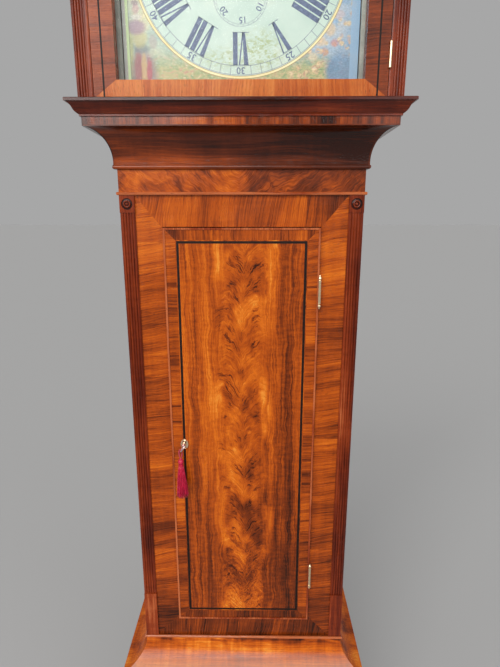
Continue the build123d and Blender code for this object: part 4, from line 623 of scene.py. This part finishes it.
def gut():
    g = Graph("gut_line", Subsurface_Weight=0.1)
    twist = g.noise(g.vec(g.x * 500, g.y * 500, g.z * 900), detail=3)
    g.bump(twist, 0.0002, 0.6)
    colour = g.ramp(twist, [(0.3, srgb(150, 106, 58)), (0.7, srgb(206, 168, 112))])
    return g.finish(colour, twist * 0.3 + 0.35)


def cast_iron():
    g = Graph("cast_weight", Metallic=0.6)
    skin = g.noise(g.point, 260.0, detail=5, rough=0.7)
    rust = g.step(g.noise(g.point, 34.0, detail=5, rough=0.7), 0.55, 0.72)
    iron = g.ramp(skin, [(0.3, srgb(44, 42, 40)), (0.7, srgb(88, 86, 84))])
    colour = g.mix(rust * 0.6, iron, srgb(104, 62, 38))
    g.bump(skin, 0.0004, 0.7)
    return g.finish(colour, skin * 0.3 + 0.4)


MATERIALS = {
    door_wood: ["trunk_door_panel"],
    frieze_wood: ["trunk_frieze"],
    cove_wood: ["base_cove"],
    throat_wood: ["throat_moulding"],
    panel_wood: ["base_front_panel"],
    ebony: ["trunk_door_string", "hood_door_string"],
    glass: ["hood_door_glass"],
    dial_paint: ["dial"],
    mask_paint: ["hood_mask"],
    gut: ["going_line", "strike_line"],
    cast_iron: ["going_weight", "strike_weight"],
    lambda: frame_wood("trunk_veneer", DOOR_HALF + 0.0014, TRUNK_HALF, DOOR_Z1, FRAME_Z1, ORANGE, 4.1, 0.12,
                       0.16, FRAME_Z0, DOOR_Z0): ["trunk_frame"],
    lambda: frame_wood("hood_door_veneer", GLASS_HALF, HOOD_DOOR_HALF, 2.4, 2.6, BROWN, 9.3, 0.11,
                       0.03, HOOD_DOOR_Z0, GLASS_Z0, 0.36, 0.6): ["hood_door_frame"],
    carcase_wood: ["trunk_carcase", "base_carcase", "hood_sides"],
    lambda: plain_wood("pediment_veneer", ORANGE, "x", 6.0, 0.25, ripple=0.5): ["hood_pediment_board"],
    lambda: plain_wood("roof_pine", PINE, "x", 1.0, 0.5): ["hood_roof"],
    lambda: pilaster_wood("trunk_reeding", 3.3, 0.06, 0.1895, 1.370): ["trunk_pilasters"],
    lambda: pilaster_wood("hood_reeding", 5.9, 0.16, 0.23075, 1.9055): ["hood_pilasters"],
    lambda: case_moulding("hood_moulding", RED, 7.0, 0.12): ["hood_base_moulding", "hood_cornice"],
    # The trunk beads' lift of 0.46 is a painted highlight on their rounded faces.
    lambda: case_moulding("trunk_bead", RED, 8.0, 0.1, 0.202, -0.0655, 0.46): ["trunk_beads"],
    cock_bead: ["door_cock_bead"],
    lambda: case_moulding("base_moulding", BROWN, 4.0, 0.28, 0.242, -0.1055): [
        "base_skirting", "bracket_feet"],
    lambda: plain_wood("turned_mahogany", RED, "z", 1.2, 0.18): ["pediment_rosettes", "finial"],
    lambda: metal("hinge_brass", srgb(250, 226, 186), srgb(176, 128, 84), 0.2, 0.4): [
        "trunk_hinge_fixed", "trunk_hinge_door", "hood_hinge_fixed", "hood_hinge_door", "hood_door_knob",
        "door_lock_case"],
    lambda: metal("bell_metal", srgb(206, 180, 120), srgb(120, 98, 60), 0.2): ["bell"],
    lambda: metal("movement_brass", srgb(218, 176, 100), srgb(128, 92, 46), 0.22): [
        "movement_frame", "third_wheel", "time_great_wheel", "minute_wheel", "going_barrel", "strike_barrel",
        "strike_great_wheel", "pin_wheel", "gather_wheel", "warning_wheel", "fly", "pendulum"],
    lambda: metal("bright_steel", srgb(206, 204, 204), srgb(112, 96, 84), 0.2): [
        "lock_bolt", "anchor", "hammer"],
    lambda: metal("key_steel", srgb(232, 208, 204), srgb(150, 112, 104), 0.2): ["door_key"],
    lambda: hand_metal("centre_work", -0.0745): ["centre_wheel", "hour_wheel", "date_wheel", "escape_wheel"],
}
for make, names in MATERIALS.items():
    material = make()
    for name in names:
        for place in nodes[name].material_slots:
            place.material = material


# ---- Softened edges ----
def soften(name, width):
    """Rounds a CAD node's sharp edges with modifiers; the mesh itself is left alone."""
    weld = nodes[name].modifiers.new("weld", "WELD")
    weld.merge_threshold = 1e-6
    bevel = nodes[name].modifiers.new("edges", "BEVEL")
    bevel.width, bevel.segments, bevel.limit_method = width, 2, "ANGLE"
    bevel.angle_limit = math.radians(50)
    bevel.harden_normals = True


for name, width in (("base_front_panel", 0.0008), ("base_carcase", 0.001), ("bracket_feet", 0.0012),
                    ("trunk_carcase", 0.0008), ("hood_sides", 0.0008), ("base_skirting", 0.0006)):
    soften(name, width)


# ---- Pieces made here ----
def piece(name, mesh, body, material, slot):
    obj = bpy.data.objects.new(name, mesh)
    bpy.context.scene.collection.objects.link(obj)
    mesh.materials.append(material)
    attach(obj, body)
    return obj


def numeral_strokes(text):
    """Four-cornered strokes of a Roman numeral, in millimetres, standing on the origin and 45 high."""
    widths = {"I": 9.0, "V": 16.5, "X": 17.6}
    x, strokes = -sum(widths[c] for c in text) / 2, []
    for c in text:
        w = widths[c]
        if c == "I":
            strokes += [[(x + 1.0, 0), (x + 8.0, 0), (x + 8.0, 45), (x + 1.0, 45)]]
        if c == "V":
            strokes += [[(x + 6.4, 0), (x + 10.4, 0), (x + 7.6, 45), (x + 0.8, 45)],
                        [(x + 8.6, 0), (x + 10.4, 0), (x + 15.8, 45), (x + 13.8, 45)]]
        if c == "X":
            strokes += [[(x + 9.6, 0), (x + 16.6, 0), (x + 8.0, 45), (x + 1.0, 45)],
                        [(x + 1.4, 0), (x + 3.2, 0), (x + 16.4, 45), (x + 14.6, 45)]]
        for z in (0, 44.2):
            strokes += [[(x + 0.4, z), (x + w - 0.4, z), (x + w - 0.4, z + 0.8), (x + 0.4, z + 0.8)]]
        x += w
    return strokes


def spoke(angle, radius, centre):
    """Places upright work on a dial at that angle, clockwise from the top, with its foot inwards."""
    turn = Matrix.Rotation(angle, 4, "Y")
    return Matrix.Translation((0, 0, centre)) @ turn @ Matrix.Translation((0, 0, radius))


LIFT = 0.00012  # the paint's thickness over the dial


def add_stroke(target, corners, place):
    back = [target.verts.new(place @ Vector((x * MM, Y_DIAL, z * MM))) for x, z in corners]
    front = [target.verts.new(place @ Vector((x * MM, Y_DIAL - LIFT, z * MM))) for x, z in corners]
    target.faces.new(front)
    for i in range(len(corners)):
        j = (i + 1) % len(corners)
        target.faces.new((front[j], front[i], back[i], back[j]))


def add_number(target, text, size, place):
    """Arabic figures from the built-in plain font, laid on the dial."""
    curve = bpy.data.curves.new("number", "FONT")
    curve.body, curve.size, curve.align_x, curve.align_y = text, size, "CENTER", "CENTER"
    curve.extrude = LIFT / 2
    curve.offset = 0.00018
    curve.resolution_u = 3
    holder = bpy.data.objects.new("number", curve)
    bpy.context.scene.collection.objects.link(holder)
    bpy.context.view_layer.update()
    mesh = bpy.data.meshes.new_from_object(holder.evaluated_get(bpy.context.evaluated_depsgraph_get()))
    upright = place @ Matrix.Translation((0, Y_DIAL - LIFT / 2, 0)) @ Matrix.Rotation(math.pi / 2, 4, "X")
    mesh.transform(upright)
    target.from_mesh(mesh)
    bpy.data.objects.remove(holder)
    bpy.data.meshes.remove(mesh)
    bpy.data.curves.remove(curve)


def dial_numbers():
    target = bmesh.new()
    romans = ("I", "II", "III", "IIII", "V", "VI", "VII", "VIII", "IX", "X", "XI", "XII")
    for hour, text in enumerate(romans, 1):
        angle = math.radians(30 * hour)
        for corners in numeral_strokes(text):
            add_stroke(target, corners, spoke(angle, 0.0970, Z_CENTRE))
        add_number(target, str(5 * hour), 0.0135, spoke(angle, 0.149, Z_CENTRE))
    for day in (5, 10, 15, 20, 25, 30):
        add_number(target, str(day), 0.0120, spoke(2 * math.pi * day / 31, 0.0312, Z_DATE))
    for second in (10, 20, 30, 40, 50, 60):
        add_number(target, str(second), 0.0075, spoke(2 * math.pi * second / 60, 0.0262, Z_SECONDS))
    mesh = bpy.data.meshes.new("dial_numerals")
    target.to_mesh(mesh)
    target.free()
    return piece("dial_numerals", mesh, "case", ink(), "dial_paint")


dial_numbers()


# ---- Tassel ----
SILK = silk("crimson_silk", srgb(120, 4, 30), srgb(206, 14, 62), 900.0)
head_low, head_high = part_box("tassel")
hang_x = (head_low.x + head_high.x) / 2
hang_y = (head_low.y + head_high.y) / 2
top_z, foot_z = head_high.z, head_low.z
skirt_r = (head_high.x - head_low.x) / 2


def lathe(target, profile, count, ridge=0.0, around=0):
    """A ring of quads from (depth below the top, radius) pairs, wound with ridges."""
    rings = []
    for depth, radius in profile:
        turn = []
        for i in range(count):
            a = 2 * math.pi * i / count
            r = radius + ridge * math.cos(around * a + depth * 900)
            turn.append(target.verts.new((hang_x + r * math.cos(a), hang_y + r * math.sin(a), top_z - depth)))
        rings.append(turn)
    for upper, lower in zip(rings, rings[1:]):
        for i in range(count):
            j = (i + 1) % count
            target.faces.new((upper[j], upper[i], lower[i], lower[j]))
    target.faces.new(rings[0])
    target.faces.new(list(reversed(rings[-1])))


def tube(target, points, radius, sides=4):
    """A thin thread along the points."""
    rings = []
    for n, point in enumerate(points):
        ahead = points[min(n + 1, len(points) - 1)] - points[max(n - 1, 0)]
        turn = ahead.to_track_quat("Z", "Y")
        rings.append([target.verts.new(point + turn @ Vector((radius * math.cos(2 * math.pi * i / sides),
                                                              radius * math.sin(2 * math.pi * i / sides), 0)))
                      for i in range(sides)])
    for upper, lower in zip(rings, rings[1:]):
        for i in range(sides):
            j = (i + 1) % sides
            target.faces.new((upper[i], upper[j], lower[j], lower[i]))
    target.faces.new(list(reversed(rings[0])))
    target.faces.new(rings[-1])


HEAD_LENGTH = 0.0140
SKIRT_TOP = 0.0132  # where the strands leave the head
STRANDS = 230
GOLDEN_ANGLE = 2.399963


def tassel_piece():
    """The corded head, its three bands, and the strands, which spread and lean a little to the right."""
    draw = random.Random(11)
    target = bmesh.new()
    head = []
    steps = 26
    for n in range(steps + 1):
        t = n / steps
        bulge = 0.0051 * math.sin(math.pi * min(t * 1.12, 1.0)) ** 0.55 if t < 0.86 else 0.0037
        head.append((HEAD_LENGTH * t, max(bulge, 0.0016)))
    lathe(target, head, 40, 0.00028, 20)
    for depth in (0.0122, 0.0130, 0.0138):
        lathe(target, [(depth - 0.0004, 0.0040), (depth - 0.0002, 0.0046), (depth + 0.0002, 0.0046),
                       (depth + 0.0004, 0.0040)], 32)
    length = top_z - foot_z
    for n in range(STRANDS):
        share = math.sqrt((n + 0.5) / STRANDS)
        angle = n * GOLDEN_ANGLE + draw.uniform(-0.1, 0.1)
        end = length - draw.uniform(0.0005, 0.0070)
        lean, sway = draw.uniform(-0.5, 0.5), draw.uniform(-0.0007, 0.0007)
        points = []
        for k in range(10):
            t = k / 9
            radius = share * (0.0038 + (skirt_r - 0.0058) * t ** 0.75)
            a = angle + lean * 0.35 * t
            wave = sway * math.sin(t * 7 + n) + 0.0012 * t
            points.append(Vector((hang_x + radius * math.cos(a) + wave,
                                  hang_y + radius * math.sin(a) + wave * 0.6,
                                  top_z - SKIRT_TOP - (end - SKIRT_TOP) * t)))
        tube(target, points, 0.00042)
    mesh = bpy.data.meshes.new("tassel_silk")
    target.to_mesh(mesh)
    target.free()
    mesh.polygons.foreach_set("use_smooth", [True] * len(mesh.polygons))
    made = piece("tassel_silk", mesh, "tassel_body", SILK, "silk")
    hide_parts("tassel")
    return made


tassel_piece()

# The loop: the CAD route's own points, offsets from the middle of the bow's rim
HANG = (-0.108 - 0.00725 * math.sin(math.radians(35)), -0.0915, 0.942 - 0.00725 * math.cos(math.radians(35)))
LOOP_DROP, LOOP_HALF, LOOP_R = 0.0145, 0.00275, 0.0008
low_z = HANG[2] - LOOP_DROP
route = [(-0.001, low_z), (-LOOP_HALF, low_z + 0.006), (-LOOP_HALF, HANG[2] + LOOP_HALF),
         (LOOP_HALF, HANG[2] + LOOP_HALF), (LOOP_HALF, low_z + 0.006), (0.001, low_z)]
curve = bpy.data.curves.new("tassel_cord", "CURVE")
curve.dimensions = "3D"
spline = curve.splines.new("NURBS")
spline.points.add(len(route) - 1)
for point, (x, z) in zip(spline.points, route):
    point.co = (HANG[0] + x, HANG[1], z, 1.0)
spline.order_u = 3
spline.use_endpoint_u = True
curve.bevel_depth = LOOP_R
curve.bevel_resolution = 4
curve.resolution_u = 16
curve.use_fill_caps = True
curve.materials.append(silk("cord_silk", srgb(120, 20, 48), srgb(198, 60, 96), 1500.0))
loop = bpy.data.objects.new("tassel_cord", curve)
bpy.context.scene.collection.objects.link(loop)
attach(loop, "tassel_body")
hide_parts("tassel_loop")

# ---- Floor and light ----
FLOOR_HALF = 200.0
FLOOR_TONE = 0.485
floor_mesh = bpy.data.meshes.new("floor")
corners = [(x * FLOOR_HALF, y * FLOOR_HALF, 0) for x, y in ((-1, -1), (1, -1), (1, 1), (-1, 1))]
floor_mesh.from_pydata(corners, [], [(0, 1, 2, 3)])
floor = bpy.data.objects.new("floor", floor_mesh)
bpy.context.scene.collection.objects.link(floor)
paint = Graph("floor_paint", Roughness=0.9, Specular_IOR_Level=0.1)
floor_mesh.materials.append(paint.finish((FLOOR_TONE, FLOOR_TONE, FLOOR_TONE, 1.0)))

world = bpy.data.worlds.new("studio")
bpy.context.scene.world = world
world.use_nodes = True
world.node_tree.nodes["Background"].inputs["Color"].default_value = srgb(167, 167, 167)
world.node_tree.nodes["Background"].inputs["Strength"].default_value = 1.0


def softbox(name, place, aim, wide, high, power, colour=(1, 1, 1)):
    light = bpy.data.lights.new(name, "AREA")
    light.shape, light.size, light.size_y, light.energy, light.color = "RECTANGLE", wide, high, power, colour
    holder = bpy.data.objects.new(name, light)
    bpy.context.scene.collection.objects.link(holder)
    holder.location = place
    holder.rotation_euler = (Vector(aim) - Vector(place)).to_track_quat("-Z", "Y").to_euler()


def sun(name, aim, strength, spread, colour=(1, 1, 1)):
    light = bpy.data.lights.new(name, "SUN")
    light.energy, light.angle, light.color = strength, math.radians(spread), colour
    holder = bpy.data.objects.new(name, light)
    bpy.context.scene.collection.objects.link(holder)
    holder.rotation_euler = Vector(aim).to_track_quat("-Z", "Y").to_euler()


sun("key_light", (0.32, 1.0, -0.58), 2.0, 40, (1.0, 0.985, 0.96))
sun("fill_light", (-0.7, 1.0, -0.5), 0.65, 50)
softbox("side_light", (-1.5, -1.3, 2.0), (-0.1, -0.05, 1.45), 0.7, 1.3, 6.0, (1.0, 0.96, 0.96))
bpy.context.scene.view_settings.view_transform = "Standard"
